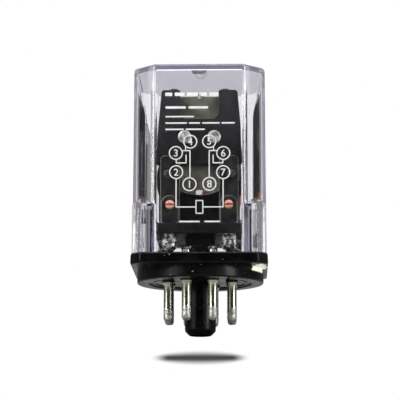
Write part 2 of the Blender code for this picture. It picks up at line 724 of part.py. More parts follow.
# ---------------------------------------------------------------- leads, braids, return spring
# name: radius, material, right-hand stations (x, y, z)
RUNS = {
    "nc_lead": (0.45, SLEEVE_WHITE, [
        (7.4, -10.75, 8.0), (9.4, -9.7, 7.3), (11.0, -6.0, 6.95), (11.1, -1.0, 6.9),
        (11.0, 3.5, 6.95), (9.3, 7.4, 7.4), (6.2, 8.75, 8.4), (3.7, 8.2, 8.6),
    ]),
    "no_lead": (0.4, SLEEVE_WHITE, [
        (8.4, -3.9, 9.7), (8.4, -2.0, 9.75), (8.2, 1.0, 9.3), (8.06, 3.4, 8.55),
    ]),
    "common_lead": (0.45, SLEEVE_WHITE, [
        (10.2, 1.0, 9.7), (10.25, -2.0, 9.9), (10.2, -6.5, 9.9),
        (8.6, -8.9, 9.6), (5.8, -9.2, 9.1), (3.5, -8.2, 8.6),
    ]),
    "coil_lead": (0.33, SLEEVE_RED, [
        (*COIL_LEAD, 18.8), (*COIL_LEAD, 14.0), (*COIL_LEAD, 10.6),
        (6.9, -2.9, 9.1), (7.9, -3.3, 8.5),
    ]),
    "pigtail": (0.38, COPPER, [
        (6.5, -7.15, 48.7), (7.0, -5.6, 49.0), (8.4, -2.6, 48.6), (9.5, 0.6, 46.0),
        (10.1, 2.4, 40.0), (10.2, 3.0, 33.0), (10.2, 3.0, 25.0), (9.85, 3.0, 20.0),
        (9.4, 3.0, 17.2), (9.4, 3.0, 14.6),
    ]),
}
TURNS, STEPS_PER_TURN = 9, 9
SPRING_R, SPRING_WIRE_R, SPRING_Y = 1.0, 0.2, (-5.4, 8.2)
# (x, y, z)
FRONT_HOOK = [
    (0, -8.45, 46.3), (0, -8.45, 46.9), (0, -8.15, 47.3),
    (0, -7.3, 47.4), (0, -6.4, 47.75), (0, -5.9, 48.5),
]
REAR_HOOK = [
    (0, 8.9, 48.4), (0, 9.6, SPRING_Z), (0, 11.6, SPRING_Z), (0, 12.35, 47.6), (0, 12.45, 46.7),
]


def build_leads():
    for run, (radius, look, points) in RUNS.items():
        for side, word in SIDES:
            wire(f"{run}_{word}", on_side(side, eased(points)), radius, look)


def build_return_spring():
    steps = STEPS_PER_TURN * TURNS
    start, end = SPRING_Y
    helix = []
    for i in range(steps + 1):
        angle = math.tau * TURNS * i / steps
        y = start + (end - start) * i / steps
        helix.append((SPRING_R * math.sin(angle), y, SPRING_Z + SPRING_R * math.cos(angle)))
    line = eased(FRONT_HOOK, 3) + helix + eased(REAR_HOOK, 3)
    wire("return_spring", line, SPRING_WIRE_R, SPRING_STEEL)


# ---------------------------------------------------------------- cover
COVER_FOOT, COVER_TOP = 6.0, 54.0
COVER_HALF_LOW, COVER_HALF_TOP = 16.85, 16.6
COVER_CORNER, COVER_FOOT_CORNER = 5.3, 2.4
SHOULDER_Z, SHOULDER_SLOPE = 18.1, 0.79
RIDGE_INSET, FOOT_REACH = 3.2, 7.0  # inwards from the cover's side
WALL = 1.3


def cover_half(z, inset=0.0):
    share = (z - COVER_FOOT) / (COVER_TOP - COVER_FOOT)
    return COVER_HALF_LOW + (COVER_HALF_TOP - COVER_HALF_LOW) * share - inset


def cover_body(low, high, inset, corner, softness, segments):
    """A solid chamfered square, tapering upwards, softened all over but at its foot."""
    mesh = bmesh.new()
    half = cover_half(low, inset)
    upper = prism(mesh, "Z", octagon(half, corner), low, high)
    ratio = cover_half(high, inset) / half
    bmesh.ops.scale(mesh, vec=(ratio, ratio, 1), verts=upper)
    soften(mesh, not_level(mesh, low), softness, segments)
    return mesh


def cover_feet():
    """Four fuller corners at the foot, each under two slopes that meet on the diagonal."""
    half, foot, corner = cover_half(SHOULDER_Z), cover_half(COVER_FOOT), COVER_FOOT_CORNER
    far = half - FOOT_REACH
    middle = half - corner / 2
    ridge = half - RIDGE_INSET
    rise = SHOULDER_Z + SHOULDER_SLOPE * RIDGE_INSET
    spots = [
        (foot, foot - corner, COVER_FOOT), (foot - corner, foot, COVER_FOOT),
        (far, foot, COVER_FOOT), (foot, far, COVER_FOOT), (far, far, COVER_FOOT),
        (half, half - corner, SHOULDER_Z), (half - corner, half, SHOULDER_Z),
        (half, far, SHOULDER_Z), (far, half, SHOULDER_Z),
        (middle, middle, SHOULDER_Z + SHOULDER_SLOPE * corner / 2),
        (ridge, ridge, rise), (ridge, far, rise), (far, ridge, rise), (far, far, rise),
    ]
    mesh = bmesh.new()
    for side_x in (-1, 1):
        for side_y in (-1, 1):
            verts = [mesh.verts.new(put(side_x * x, side_y * y, z)) for x, y, z in spots]
            hull = bmesh.ops.convex_hull(mesh, input=verts)
            unused = hull["geom_interior"] + hull["geom_unused"]
            spare = {item for item in unused if isinstance(item, bmesh.types.BMVert)}
            bmesh.ops.delete(mesh, geom=list(spare), context="VERTS")
    bmesh.ops.dissolve_limit(
        mesh, angle_limit=math.radians(1), verts=mesh.verts, edges=mesh.edges
    )
    soften(mesh, not_level(mesh, COVER_FOOT), 0.35, 2)
    return mesh


def build_cover():
    outside = cover_body(COVER_FOOT, COVER_TOP, 0.0, COVER_CORNER, softness=0.9, segments=3)
    cover = piece("cover", CLEAR, outside)
    join(cover, "cover_foot_corners", cover_feet())
    # This corner keeps the wall equally thick across the chamfers.
    corner = COVER_CORNER + WALL * math.sqrt(2) - 2 * WALL
    hollow = cover_body(
        COVER_FOOT - 1, COVER_TOP - WALL, WALL, corner, softness=0.4, segments=2
    )
    cut(cover, "cover_hollow", hollow)


build_base()
build_pins()
build_frame_block()
build_yoke()
build_yoke_screws()
build_coil()
build_swinging_parts()
for side, word in SIDES:
    build_fixed_side(side, word)
build_leads()
build_return_spring()
build_cover()
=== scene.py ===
"""Looks for a plug-in relay: an eight-pin base, a magnet with its contacts, and a clear cover.

Sizes are millimetres measured from the seating face of the base, with +Z up, -Y the front and
-X the left. put() turns them into metres, with the origin at the tip of the spigot.
"""

import math

import bmesh
import bpy
from mathutils import Matrix, Vector, noise


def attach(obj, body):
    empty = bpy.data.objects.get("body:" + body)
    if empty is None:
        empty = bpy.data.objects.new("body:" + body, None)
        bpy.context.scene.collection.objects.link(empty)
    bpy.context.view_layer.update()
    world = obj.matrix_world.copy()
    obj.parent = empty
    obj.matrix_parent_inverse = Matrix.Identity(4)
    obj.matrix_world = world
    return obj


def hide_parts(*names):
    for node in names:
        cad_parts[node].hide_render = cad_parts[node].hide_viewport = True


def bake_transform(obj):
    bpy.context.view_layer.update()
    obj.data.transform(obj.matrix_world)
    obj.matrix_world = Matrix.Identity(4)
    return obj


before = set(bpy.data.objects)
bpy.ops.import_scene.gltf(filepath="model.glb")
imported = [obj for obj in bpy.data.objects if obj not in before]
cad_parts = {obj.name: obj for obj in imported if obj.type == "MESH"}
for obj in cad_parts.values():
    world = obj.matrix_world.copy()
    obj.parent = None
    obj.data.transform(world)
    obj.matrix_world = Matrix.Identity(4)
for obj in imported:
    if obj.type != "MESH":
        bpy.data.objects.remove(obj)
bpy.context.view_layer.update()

MM = 0.001
SEAT_Z = 13.3  # the seating face above the tip of the spigot
scene = bpy.context.scene
SIDES = ((-1, "left"), (1, "right"))
ROOT, ARM, LID = "base_and_magnet", "armature_group", "cover_body"  # the bodies pieces ride on

tools = bpy.data.collections.new("cutters")
scene.collection.children.link(tools)

# ================================================================ sizes shared between pieces
# R is a radius, HALF half a width, T a thickness; 0 and 1 are the two ends along an axis.
# base
PUCK_R, PUCK_H, RECESS_R, RECESS_D = 16.15, 3.5, 13.2, 0.4
FLANGE_HALF, FLANGE_Z0, FLANGE_Z1, FLANGE_CHAMFER, FLANGE_DRAFT = 17.2, 3.2, 5.9, 2.5, 0.12
SPIGOT_R, SPIGOT_CHAMFER = 3.95, 1.1
KEY_HALF, KEY_Y, KEY_END = 1.15, -5.2, -10.7
PIN_CIRCLE_R, PIN_R, PIN_END, PIN_TAIL, PIN_HOLE_R, COLLAR_R = 8.725, 1.18, -10.1, 8.0, 1.27, 1.6
PIN_ANGLES = [math.radians(22.5 + 45 * n) for n in range(8)]  # from the front
PIN_SPOTS = [(PIN_CIRCLE_R * math.sin(a), -PIN_CIRCLE_R * math.cos(a)) for a in PIN_ANGLES]
# cover
COVER_Z0, COVER_Z1, COVER_HALF_LOW, COVER_HALF_TOP = 6.0, 54.0, 16.85, 16.6
COVER_CORNER, COVER_FOOT_CORNER, SHOULDER_Z, SHOULDER_SLOPE, WALL = 5.3, 2.4, 18.1, 0.79, 1.3
# frame block
DECK_HALF, DECK_Y0, DECK_Y1, DECK_Z0, DECK_Z1 = 11.2, -12.8, 13.6, 11.2, 13.8
COLUMN_HALF, COLUMN_FOOT = 3.7, 4.2
POST_X0, POST_X1, POST_Y0, POST_Y1, POST_Z1 = 5.0, 10.2, -10.35, -5.5, 21.2
UPSTAND_Y0, UPSTAND_Z1, UPSTAND_HALF = 12.15, 19.2, 8.0
# coil
COIL_Z, CORE_R, POLE_R, POLE_Y = 26.2, 4.0, 4.3, -5.2
BOBBIN_Y0, BOBBIN_Y1, BOBBIN_R, BOBBIN_WALL, HUB_R = -4.3, 10.2, 11.2, 1.0, 5.0
WINDING_R, TAPE_R0, TAPE_R1 = 9.0, 9.12, 9.45
WOUND_Y0 = BOBBIN_Y0 + BOBBIN_WALL + 0.12
WOUND_Y1 = BOBBIN_Y1 - BOBBIN_WALL - 0.12
# yoke
YOKE_HALF, YOKE_T, YOKE_Y1, YOKE_Z0, YOKE_Z1, YOKE_EDGE_Y = 8.0, 1.5, 12.0, 13.95, 46.0, -6.4
INNER_BEND = 0.8
OUTER_BEND = INNER_BEND + YOKE_T
PRONG_X0, PRONG_X1, PRONG_Y = 6.1, 7.6, -7.6
YOKE_SCREW_X, YOKE_SCREW_Z, SPRING_Z = 5.0, 17.2, 47.9
# armature and contact carrier
ARM_HALF, ARM_Y0, ARM_Y1, ARM_Z0, ARM_CORNER_Z, ARM_Z1 = 5.85, -8.0, -6.6, 21.6, 23.2, 47.3
CARRIER_Y0, CARRIER_Y1, CARRIER_Z0, CARRIER_Z1 = -10.0, -8.15, 29.2, 48.6
CARRIER_HALF_LOW, CARRIER_HALF_TOP, NOTCH_HALF, NOTCH_Z = 11.2, 9.7, 4.9, 41.1
RIVET_X, RIVET_Z, RIVET_R, RIVET_HOLE_R = 3.75, 36.3, 1.7, 0.85
STUDS = ((8.9, 32.5), (8.5, 44.8))  # (x, z)
# contacts and tags
CONTACT_X, CONTACT_Z, CONTACT_HOLE_R = 8.0, 26.5, 0.72
LEAF_X0, LEAF_X1, LEAF_Y0, LEAF_Y1, LEAF_Z0, LEAF_Z1 = 6.2, 10.2, -8.05, -7.75, 25.0, 48.3
NC_X0, NC_X1, NC_Y0, NC_Y1, NC_Z1 = 4.95, 9.85, -11.2, -10.5, 31.3
NO_X0, NO_X1, NO_Y0, NO_Y1, NO_Z1 = 6.2, 9.8, -5.15, -4.45, 29.0
LUG_X, LUG_R, LUG_Y0, LUG_Y1, LUG_TOP, LUG_END = 7.4, 2.2, -12.0, -11.3, 21.0, 7.0
LUG_HALF, LUG_SCREW_Z, LUG_HOLE_R = 1.7, 18.5, 0.66
COMMON_X0, COMMON_X1, COMMON_Y0, COMMON_Y1 = 9.9, 10.5, 1.6, 4.4


# ================================================================ modelling helpers
def put(x, y, z):
    return Vector((x * MM, y * MM, (z + SEAT_Z) * MM))


def place(axis, u, v, along):
    """A point at (u, v) across the axis and so far along it."""
    return {"X": put(along, u, v), "Y": put(u, along, v), "Z": put(u, v, along)}[axis]


AXES = {"X": (1, 0, 0), "Y": (0, 1, 0), "Z": (0, 0, 1)}


def tidy(bm):
    bmesh.ops.remove_doubles(bm, verts=bm.verts, dist=1e-7)
    bmesh.ops.recalc_face_normals(bm, faces=bm.faces)


def new_object(name, bm, collection):
    tidy(bm)
    mesh = bpy.data.meshes.new(name)
    bm.to_mesh(mesh)
    bm.free()
    obj = bpy.data.objects.new(name, mesh)
    collection.objects.link(obj)
    return obj


def evaluated_mesh(obj):
    bpy.context.view_layer.update()
    return bpy.data.meshes.new_from_object(
        obj.evaluated_get(bpy.context.evaluated_depsgraph_get())
    )


def join(name, bm, kind="UNION"):
    """A Boolean step that adds a hidden solid."""
    obj = new_object(name, bm, tools)
    obj.hide_render = True
    return kind, obj


def cut(name, bm):
    """A Boolean step that takes a hidden solid away."""
    return join(name, bm, "DIFFERENCE")


def piece(name, bm, look, body, node=None, steps=(), angle=32, even_shading=True):
    """One finished piece: mesh, Booleans applied, shading, material, and the body it rides on.

    node is the CAD node it replaces; edges sharper than angle degrees stay sharp.
    """
    obj = new_object(name, bm, scene.collection)
    for kind, other in steps:
        step = obj.modifiers.new(other.name, "BOOLEAN")
        step.operation = kind
        step.object = other
        step.solver = "EXACT"
    if steps:
        made = evaluated_mesh(obj)
        obj.modifiers.clear()
        obj.data = made
        made.name = name
    obj.data.materials.clear()
    obj.data.materials.append(look.material)
    obj.data.shade_smooth()
    obj.data.set_sharp_from_angle(angle=math.radians(angle))
    if even_shading:
        weighted = obj.modifiers.new("even_shading", "WEIGHTED_NORMAL")
        weighted.keep_sharp = True
        weighted.mode = "FACE_AREA"
    if body:
        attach(obj, body)
    if node:
        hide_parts(node)
    return obj


def solid(shape, *args, **settings):
    """A new mesh holding one shape."""
    bm = bmesh.new()
    shape(bm, *args, **settings)
    return bm


def block(bm, x, y, z):
    """A box between two values on each axis."""
    made = bmesh.ops.create_cube(bm, size=1.0)["verts"]
    bmesh.ops.scale(bm, vec=[abs(p[1] - p[0]) * MM for p in (x, y, z)], verts=made)
    bmesh.ops.translate(bm, vec=put(sum(x) / 2, sum(y) / 2, sum(z) / 2), verts=made)


def rod(bm, axis, at, low, high, radius, sides):
    turn = Matrix.Rotation(math.radians(90), 4, "X") if axis == "Y" else Matrix()
    bmesh.ops.create_cone(
        bm,
        cap_ends=True,
        segments=sides,
        radius1=radius * MM,
        radius2=radius * MM,
        depth=(high - low) * MM,
        matrix=Matrix.Translation(place(axis, *at, (low + high) / 2)) @ turn,
    )


def turned(bm, axis, at, profile, sides, ring=False):
    """Spins (radius, along) points about the axis; a ring's profile is closed."""
    points = [bm.verts.new(place(axis, at[0] + r, at[1], along)) for r, along in profile]
    pairs = list(zip(points, points[1:]))
    if ring:
        pairs.append((points[-1], points[0]))
    edges = [bm.edges.new(pair) for pair in pairs]
    bmesh.ops.spin(
        bm,
        geom=points + edges,
        cent=place(axis, *at, 0),
        axis=AXES[axis],
        angle=math.tau,
        steps=sides,
        use_merge=True,
    )
    bmesh.ops.remove_doubles(bm, verts=bm.verts, dist=1e-6)


def arc(u, v, radius, start, end, steps):
    angles = [math.radians(start + (end - start) * i / steps) for i in range(steps + 1)]
    return [(u + radius * math.cos(a), v + radius * math.sin(a)) for a in angles]


def prism(bm, axis, outline, low, high, holes=()):
    """Extrudes an outline with round holes (u, v, radius, sides); returns the verts at high."""
    edges = []
    for loop in [outline] + [arc(u, v, r, 0, 360, n)[:-1] for u, v, r, n in holes]:
        verts = [bm.verts.new(place(axis, u, v, low)) for u, v in loop]
        edges += [bm.edges.new(pair) for pair in zip(verts, verts[1:] + verts[:1])]
    if holes:
        made = bmesh.ops.triangle_fill(bm, use_beauty=True, edges=edges)["geom"]
    else:
        made = bmesh.ops.contextual_create(bm, geom=edges)["faces"]
    faces = [f for f in made if isinstance(f, bmesh.types.BMFace)]
    return push(bm, faces, Vector(AXES[axis]) * (high - low) * MM)


def push(bm, faces, way):
    """Extrudes faces by a vector in metres and returns the moved verts."""
    pushed = bmesh.ops.extrude_face_region(bm, geom=faces)["geom"]
    moved = [v for v in pushed if isinstance(v, bmesh.types.BMVert)]
    bmesh.ops.translate(bm, vec=way, verts=moved)
    return moved


def drafted(bm, half, corner, low, high, half_top):
    """An upright eight-sided prism that narrows to half_top."""
    rest = half - corner
    outline = [(half, -rest), (half, rest), (rest, half), (-rest, half)]
    outline += [(-half, rest), (-half, -rest), (-rest, -half), (rest, -half)]
    top = prism(bm, "Z", outline, low, high)
    shrink = half_top / half
    bmesh.ops.scale(bm, vec=(shrink, shrink, 1), verts=top)


def level(bm, z):
    height = (z + SEAT_Z) * MM
    return [e for e in bm.edges if all(abs(v.co.z - height) < 1e-7 for v in e.verts)]


def upright(bm):
    def rise(edge):
        return abs(edge.verts[0].co.z - edge.verts[1].co.z)

    return [e for e in bm.edges if rise(e) > 0.8 * e.calc_length()]


def soften(bm, edges, width, segments=3):
    bmesh.ops.bevel(
        bm,
        geom=edges,
        offset=width * MM,
        segments=segments,
        affect="EDGES",
        profile=0.5,
        clamp_overlap=True,
    )


def soften_all_but(bm, z, width, segments):
    """Rounds every edge except those lying at z."""
    kept = set(level(bm, z))
    soften(bm, [e for e in bm.edges if e not in kept], width, segments)


def rounded(bm, width, segments=3, angle=30):
    """Rounds every edge where two faces meet at more than the angle."""
    tidy(bm)
    limit = math.radians(angle)
    sharp = [e for e in bm.edges if len(e.link_faces) == 2 and e.calc_face_angle(0.0) > limit]
    soften(bm, sharp, width, segments)


def flip(points, side):
    """Points drawn for the right, moved to the given side."""
    return [(side * p[0], *p[1:]) for p in points]


def eased(points, steps=8):
    """A smooth line through the points."""
    held = [points[0], *points, points[-1]]
    line = []
    for corners in zip(held, held[1:], held[2:], held[3:]):
        for i in range(steps):
            t = i / steps
            line.append(
                tuple(
                    0.5
                    * (
                        2 * start
                        + (end - before) * t
                        + (2 * before - 5 * start + 4 * end - after) * t**2
                        + (3 * start - before - 3 * end + after) * t**3
                    )
                    for before, start, end, after in zip(*corners)
                )
            )
    return [*line, points[-1]]


def even(points, pitch):
    """The same line with points every pitch millimetres."""
    spots = [Vector(p) for p in points]
    out, left = [spots[0]], pitch
    for start, end in zip(spots, spots[1:]):
        run, done = (end - start).length, 0.0
        while run - done >= left:
            done += left
            out.append(start.lerp(end, done / run))
            left = pitch
        left -= run - done
    if (out[-1] - spots[-1]).length > pitch * 0.3:
        out.append(spots[-1])
    else:
        out[-1] = spots[-1]
    return out


def normals(points):
    """Two normals that don't twist, at each point."""
    spots = [Vector(p) for p in points]
    runs = [(end - start).normalized() for start, end in zip(spots, spots[1:])]
    runs.append(runs[-1])
    tangents = [runs[0]] + [(a + b).normalized() for a, b in zip(runs, runs[1:])]
    side = tangents[0].orthogonal().normalized()
    out = []
    for tangent in tangents:
        side = (side - tangent * side.dot(tangent)).normalized()
        out.append((side, tangent.cross(side)))
    return out


def tube(bm, points, radius, sides, wobble=0.0):
    """A round closed tube in millimetre points."""
    rings = []
    for point, (side, across) in zip(points, normals(points)):
        ring = []
        for k in range(sides):
            angle = math.tau * k / sides
            out = side * math.cos(angle) + across * math.sin(angle)
            reach = radius
            if wobble:
                reach += wobble * noise.noise(Vector(point) * 0.9 + out)
            ring.append(bm.verts.new(put(*(Vector(point) + out * reach))))
        rings.append(ring)
    for low, high in zip(rings, rings[1:]):
        for k in range(sides):
            m = (k + 1) % sides
            bm.faces.new((low[k], low[m], high[m], high[k]))
    bm.faces.new(rings[0][::-1])
    bm.faces.new(rings[-1])


def roughen(bm, amount, scale, seed, where):
    """Pushes the vertices that where() picks along their normals by smooth noise."""
    bm.normal_update()
    for v in bm.verts:
        if where(v.co):
            at = v.co * scale * 1000 + Vector((seed, seed * 1.7, -seed))
            v.co += v.normal * (amount * MM * noise.noise(at))


def ahead_of(y):
    return lambda spot: spot.y < y * MM


def blob(bm, centre, size, seed, lump=0.25):
    """A run of solder: a lumpy drop, never a plain ball."""
    for v in bmesh.ops.create_icosphere(bm, subdivisions=3, radius=1.0)["verts"]:
        out = v.co.normalized()
        coarse = noise.noise(out * 1.6 + Vector((seed, 0, 3.1 * seed)))
        fine = noise.noise(out * 4.3 + Vector((0, seed, 0)))
        reach = 1.0 + lump * coarse + 0.4 * lump * fine
        v.co = Vector([n * s * reach for n, s in zip(out, size)]) * MM + put(*centre)


# ================================================================ material helpers
class Wire:
    """A node's output in a shader graph. Arithmetic on it adds Math nodes."""

    def __init__(self, graph, node, key=0):
        self.graph, self.node, self.key = graph, node, key

    def out(self, key):
        """Another output of the same node."""
        return Wire(self.graph, self.node, key)

    def __add__(self, other):
        return self.graph.math("ADD", self, other)

    def __sub__(self, other):
        return self.graph.math("SUBTRACT", self, other)

    def __rsub__(self, other):
        return self.graph.math("SUBTRACT", other, self)

    def __mul__(self, other):
        return self.graph.math("MULTIPLY", self, other)

    def __truediv__(self, other):
        return self.graph.math("DIVIDE", self, other)

    def __lt__(self, other):
        return self.graph.math("LESS_THAN", self, other)

    def __gt__(self, other):
        return self.graph.math("GREATER_THAN", self, other)

    def __abs__(self):
        return self.graph.math("ABSOLUTE", self)

    def clamped(self):
        """The same Math node, held between 0 and 1."""
        self.node.use_clamp = True
        return self

    def ramp(self, over, to=(0.0, 1.0), kind="LINEAR"):
        """Maps the range over onto the range to, and holds the ends."""
        inputs = {
            "Value": self,
            "From Min": over[0],
            "From Max": over[1],
            "To Min": to[0],
            "To Max": to[1],
        }
        return self.graph.add("MapRange", inputs, out="Result", interpolation_type=kind)

    def smooth(self, over, to=(0.0, 1.0)):
        return self.ramp(over, to, "SMOOTHSTEP")

    def fade(self, over):
        return self.smooth(over, to=(1.0, 0.0))

    def band(self, rise, fall):
        """0, up to 1 over the range rise, and back to 0 over the range fall."""
        return self.smooth(over=rise) * self.fade(over=fall)


class Graph:
    """Builds nodes in one tree."""

    def __init__(self, tree):
        self.tree = tree

    def feed(self, node, inputs):
        """Links or sets a node's inputs, given as a dict or in order."""
        for key, value in inputs.items() if isinstance(inputs, dict) else enumerate(inputs):
            socket = node.inputs[key]
            if isinstance(value, Wire):
                self.tree.links.new(value.node.outputs[value.key], socket)
            else:
                socket.default_value = (*value, 1.0) if socket.type == "RGBA" else value

    def add(self, kind, inputs=(), out=0, **settings):
        node = self.tree.nodes.new("ShaderNode" + kind)
        for name, value in settings.items():
            setattr(node, name, value)
        self.feed(node, inputs)
        return Wire(self, node, out)

    def math(self, operation, *values):
        return self.add("Math", values, operation=operation)

    def vector(self, operation, *values, out=0):
        return self.add("VectorMath", values, out, operation=operation)

    def mix(self, factor, first, second):
        return self.add("Mix", {0: factor, 6: first, 7: second}, out=2, data_type="RGBA")

    def object_at(self):
        return self.add("TexCoord", out="Object")

    def parts(self, at=None):
        """X, Y and Z of a vector, or else of the place on the object in metres."""
        return self.add("SeparateXYZ", [at or self.object_at()])

    def coords(self, stretch=(1, 1, 1)):
        """Texture coordinates in millimetres."""
        scale = [s * 1000.0 for s in stretch]
        return self.add("Mapping", {"Scale": scale, "Vector": self.object_at()})

    def noise(self, at, scale, detail=4.0, rough=0.55):
        inputs = {"Scale": scale, "Detail": detail, "Roughness": rough, "Vector": at}
        return self.add("TexNoise", inputs, out="Fac")

    def worn_edge(self, radius, gain):
        """1 on edges, 0 on flats: the mask for worn edges and painted edge glints."""
        soft = self.add("Bevel", {"Radius": radius * MM}, samples=4)
        plain = self.add("NewGeometry", out="Normal")
        return ((1.0 - self.vector("DOT_PRODUCT", soft, plain, out="Value")) * gain).clamped()

    def bands(self, value, stops):
        """Colours along the value; stops are (position 0 to 1, colour)."""
        made = self.add("ValToRGB", [value])
        held = made.node.color_ramp.elements
        held[0].position, held[1].position = stops[0][0], stops[-1][0]
        for position, _ in stops[1:-1]:
            held.new(position)
        for element, (position, colour) in zip(held, stops):
            element.position = position
            element.color = (*colour, 1)
        return made


class Look(Graph):
    """A material and its graph."""

    def __init__(self, name):
        self.material = bpy.data.materials.new(name)
        self.material.use_nodes = True
        super().__init__(self.material.node_tree)
        self.shader = Wire(self, self.tree.nodes["Principled BSDF"])
        self.fed = {}

    def shade(self, inputs):
        self.feed(self.shader.node, inputs)
        self.fed.update(inputs)

    def tint(self, mask, colour):
        """Lays a colour over the base colour where the mask is 1."""
        self.shade({"Base Color": self.mix(mask, self.fed["Base Color"], colour)})

    def bump(self, relief, strength, depth, under=None):
        inputs = {"Strength": strength, "Distance": depth * MM, "Height": relief}
        if under is not None:
            inputs["Normal"] = under
        self.shade({"Normal": self.add("Bump", inputs)})

    def output(self, inputs):
        self.feed(self.tree.nodes["Material Output"], inputs)

    def show(self, factor, first, second):
        """Sends a mix of two shaders to the surface output."""
        self.output({"Surface": self.add("MixShader", [factor, first, second])})


def height_of(parts):
    """Height above the seating face in millimetres."""
    return parts.out("Z") * 1000.0 - SEAT_Z


def surface(
    name, dark, light, rough, metallic=0.0, patch=0.35, grain=6.0, bump_mm=0.01,
    bump_strength=0.5, stretch=(1, 1, 1), specks=None, edge=None, ior=1.5, coat=0.0,
    anisotropic=0.0,
):  # fmt: skip
    """A material with blotches, grain, bump, and optionally specks and bright edges, partly wear and
    partly a painted highlight.

    dark, light: colours the blotches run between. rough: roughness range.
    patch, grain: noise scales of blotches and grain. stretch: the grain's scale on each axis.
    specks: (colour, noise scale, threshold). edge: (colour, roughness, radius, gain).
    """
    look = Look(name)
    even_at, grain_at = look.coords(), look.coords(stretch)
    blotch = look.noise(even_at, scale=patch, detail=5.0).smooth(over=(0.35, 0.65))
    fine = look.noise(grain_at, scale=grain, detail=6.0, rough=0.65)
    shaded = tuple(0.65 * c for c in dark)
    grain_mask = fine.ramp(over=(0.3, 0.7), to=(0.0, 0.35))
    tone = look.mix(grain_mask, look.mix(blotch, dark, light), shaded)
    roughness = (fine * 0.6 + blotch * 0.4).ramp(over=(0.25, 0.75), to=rough)
    if specks:
        tint, scale, threshold = specks
        dots = look.noise(even_at, scale=scale, detail=2.0, rough=0.4)
        dots = dots.ramp(over=(threshold, threshold + 0.03))
        tone = look.mix(dots, tone, tint)
        roughness = (roughness + dots * 0.3).clamped()
    # bright edges: partly wear, partly a painted highlight where edges catch the lamps
    if edge:
        tint, edge_rough, radius, gain = edge
        patchy = look.noise(even_at, scale=1.1, detail=3.0).ramp(over=(0.3, 0.6), to=(0.35, 1.0))
        mask = (look.worn_edge(radius, gain) * patchy).clamped()
        tone = look.mix(mask, tone, tint)
        roughness = (roughness * (1.0 - mask) + mask * edge_rough).clamped()
    look.shade({
        "Base Color": tone,
        "Roughness": roughness,
        "Metallic": metallic,
        "IOR": ior,
        "Coat Weight": coat,
        "Coat Roughness": 0.12,
        "Anisotropic": anisotropic,
    })
    look.bump(fine, bump_strength, bump_mm)
    return look


# ================================================================ materials
PHENOLIC = surface(
    "phenolic_black", dark=(0.0015, 0.0015, 0.0016), light=(0.004, 0.004, 0.0042),
    rough=(0.16, 0.34), patch=0.22, grain=3.5, bump_mm=0.012, bump_strength=0.25,
    specks=((0.42, 0.43, 0.36), 1.7, 0.735), edge=((0.02, 0.02, 0.019), 0.3, 0.25, 1.2), ior=1.6,
)  # fmt: skip
PHENOLIC.shade({"Specular IOR Level": 0.13})


def scuff(look):
    """A painted highlight under the flange, near its right edge and forward of the middle: pale
    flecked colour, rougher, with a faint glow.
    """
    centre_x, centre_y, reach_x, reach_y = 15.0, -8.2, 1.9, 6.0
    parts = look.parts()
    up = height_of(parts)
    x, y = (parts.out(k) * 1000.0 for k in "XY")
    away_x = (x - centre_x) / reach_x
    away_y = (y + -centre_y) / reach_y
    away = look.math("SQRT", away_x * away_x + away_y * away_y)
    highlight_flecks = look.noise(look.coords((1.6, 0.3, 1.0)), scale=1.0, detail=4.0, rough=0.7)
    highlight_shape = highlight_flecks + 0.42 - away * 0.42
    mask = highlight_shape.ramp(over=(0.5, 0.54)) * up.ramp(over=(3.3, 3.6), to=(1.0, 0.0))
    mask = mask * up.ramp(over=(2.2, 2.5))
    # painted highlight: pale colour and a faint glow where the flange's underside catches a lamp
    look.tint(mask, (0.95, 0.93, 0.8))
    look.shade({
        "Emission Color": (1.0, 0.97, 0.85),
        "Emission Strength": mask * 0.45,
        "Roughness": (look.fed["Roughness"] + mask * 0.5).clamped(),
    })


scuff(PHENOLIC)

NYLON = surface(
    "nylon_charcoal", dark=(0.016, 0.017, 0.0165), light=(0.026, 0.027, 0.026),
    rough=(0.34, 0.52), patch=0.16, grain=7.0, bump_mm=0.012, bump_strength=0.45,
    specks=((0.2, 0.2, 0.19), 2.3, 0.77), edge=((0.09, 0.09, 0.088), 0.35, 0.16, 1.1), ior=1.53,
)  # fmt: skip
# painted shade: darker towards the bottom of the carrier
painted_low_shade = height_of(NYLON.parts()).smooth(over=(31.0, 43.0), to=(0.85, 0.0))
NYLON.tint(painted_low_shade, (0.001, 0.001, 0.001))
NYLON.shade({"Specular IOR Level": 0.28})

NYLON_DEEP = surface(
    "nylon_black", dark=(0.004, 0.004, 0.004), light=(0.008, 0.008, 0.008),
    rough=(0.3, 0.48), patch=0.2, grain=7.0, bump_mm=0.012, bump_strength=0.4,
    specks=((0.2, 0.2, 0.19), 2.3, 0.77), edge=((0.03, 0.03, 0.03), 0.35, 0.16, 1.0), ior=1.53,
)  # fmt: skip
NYLON_DEEP.shade({"Specular IOR Level": 0.3})

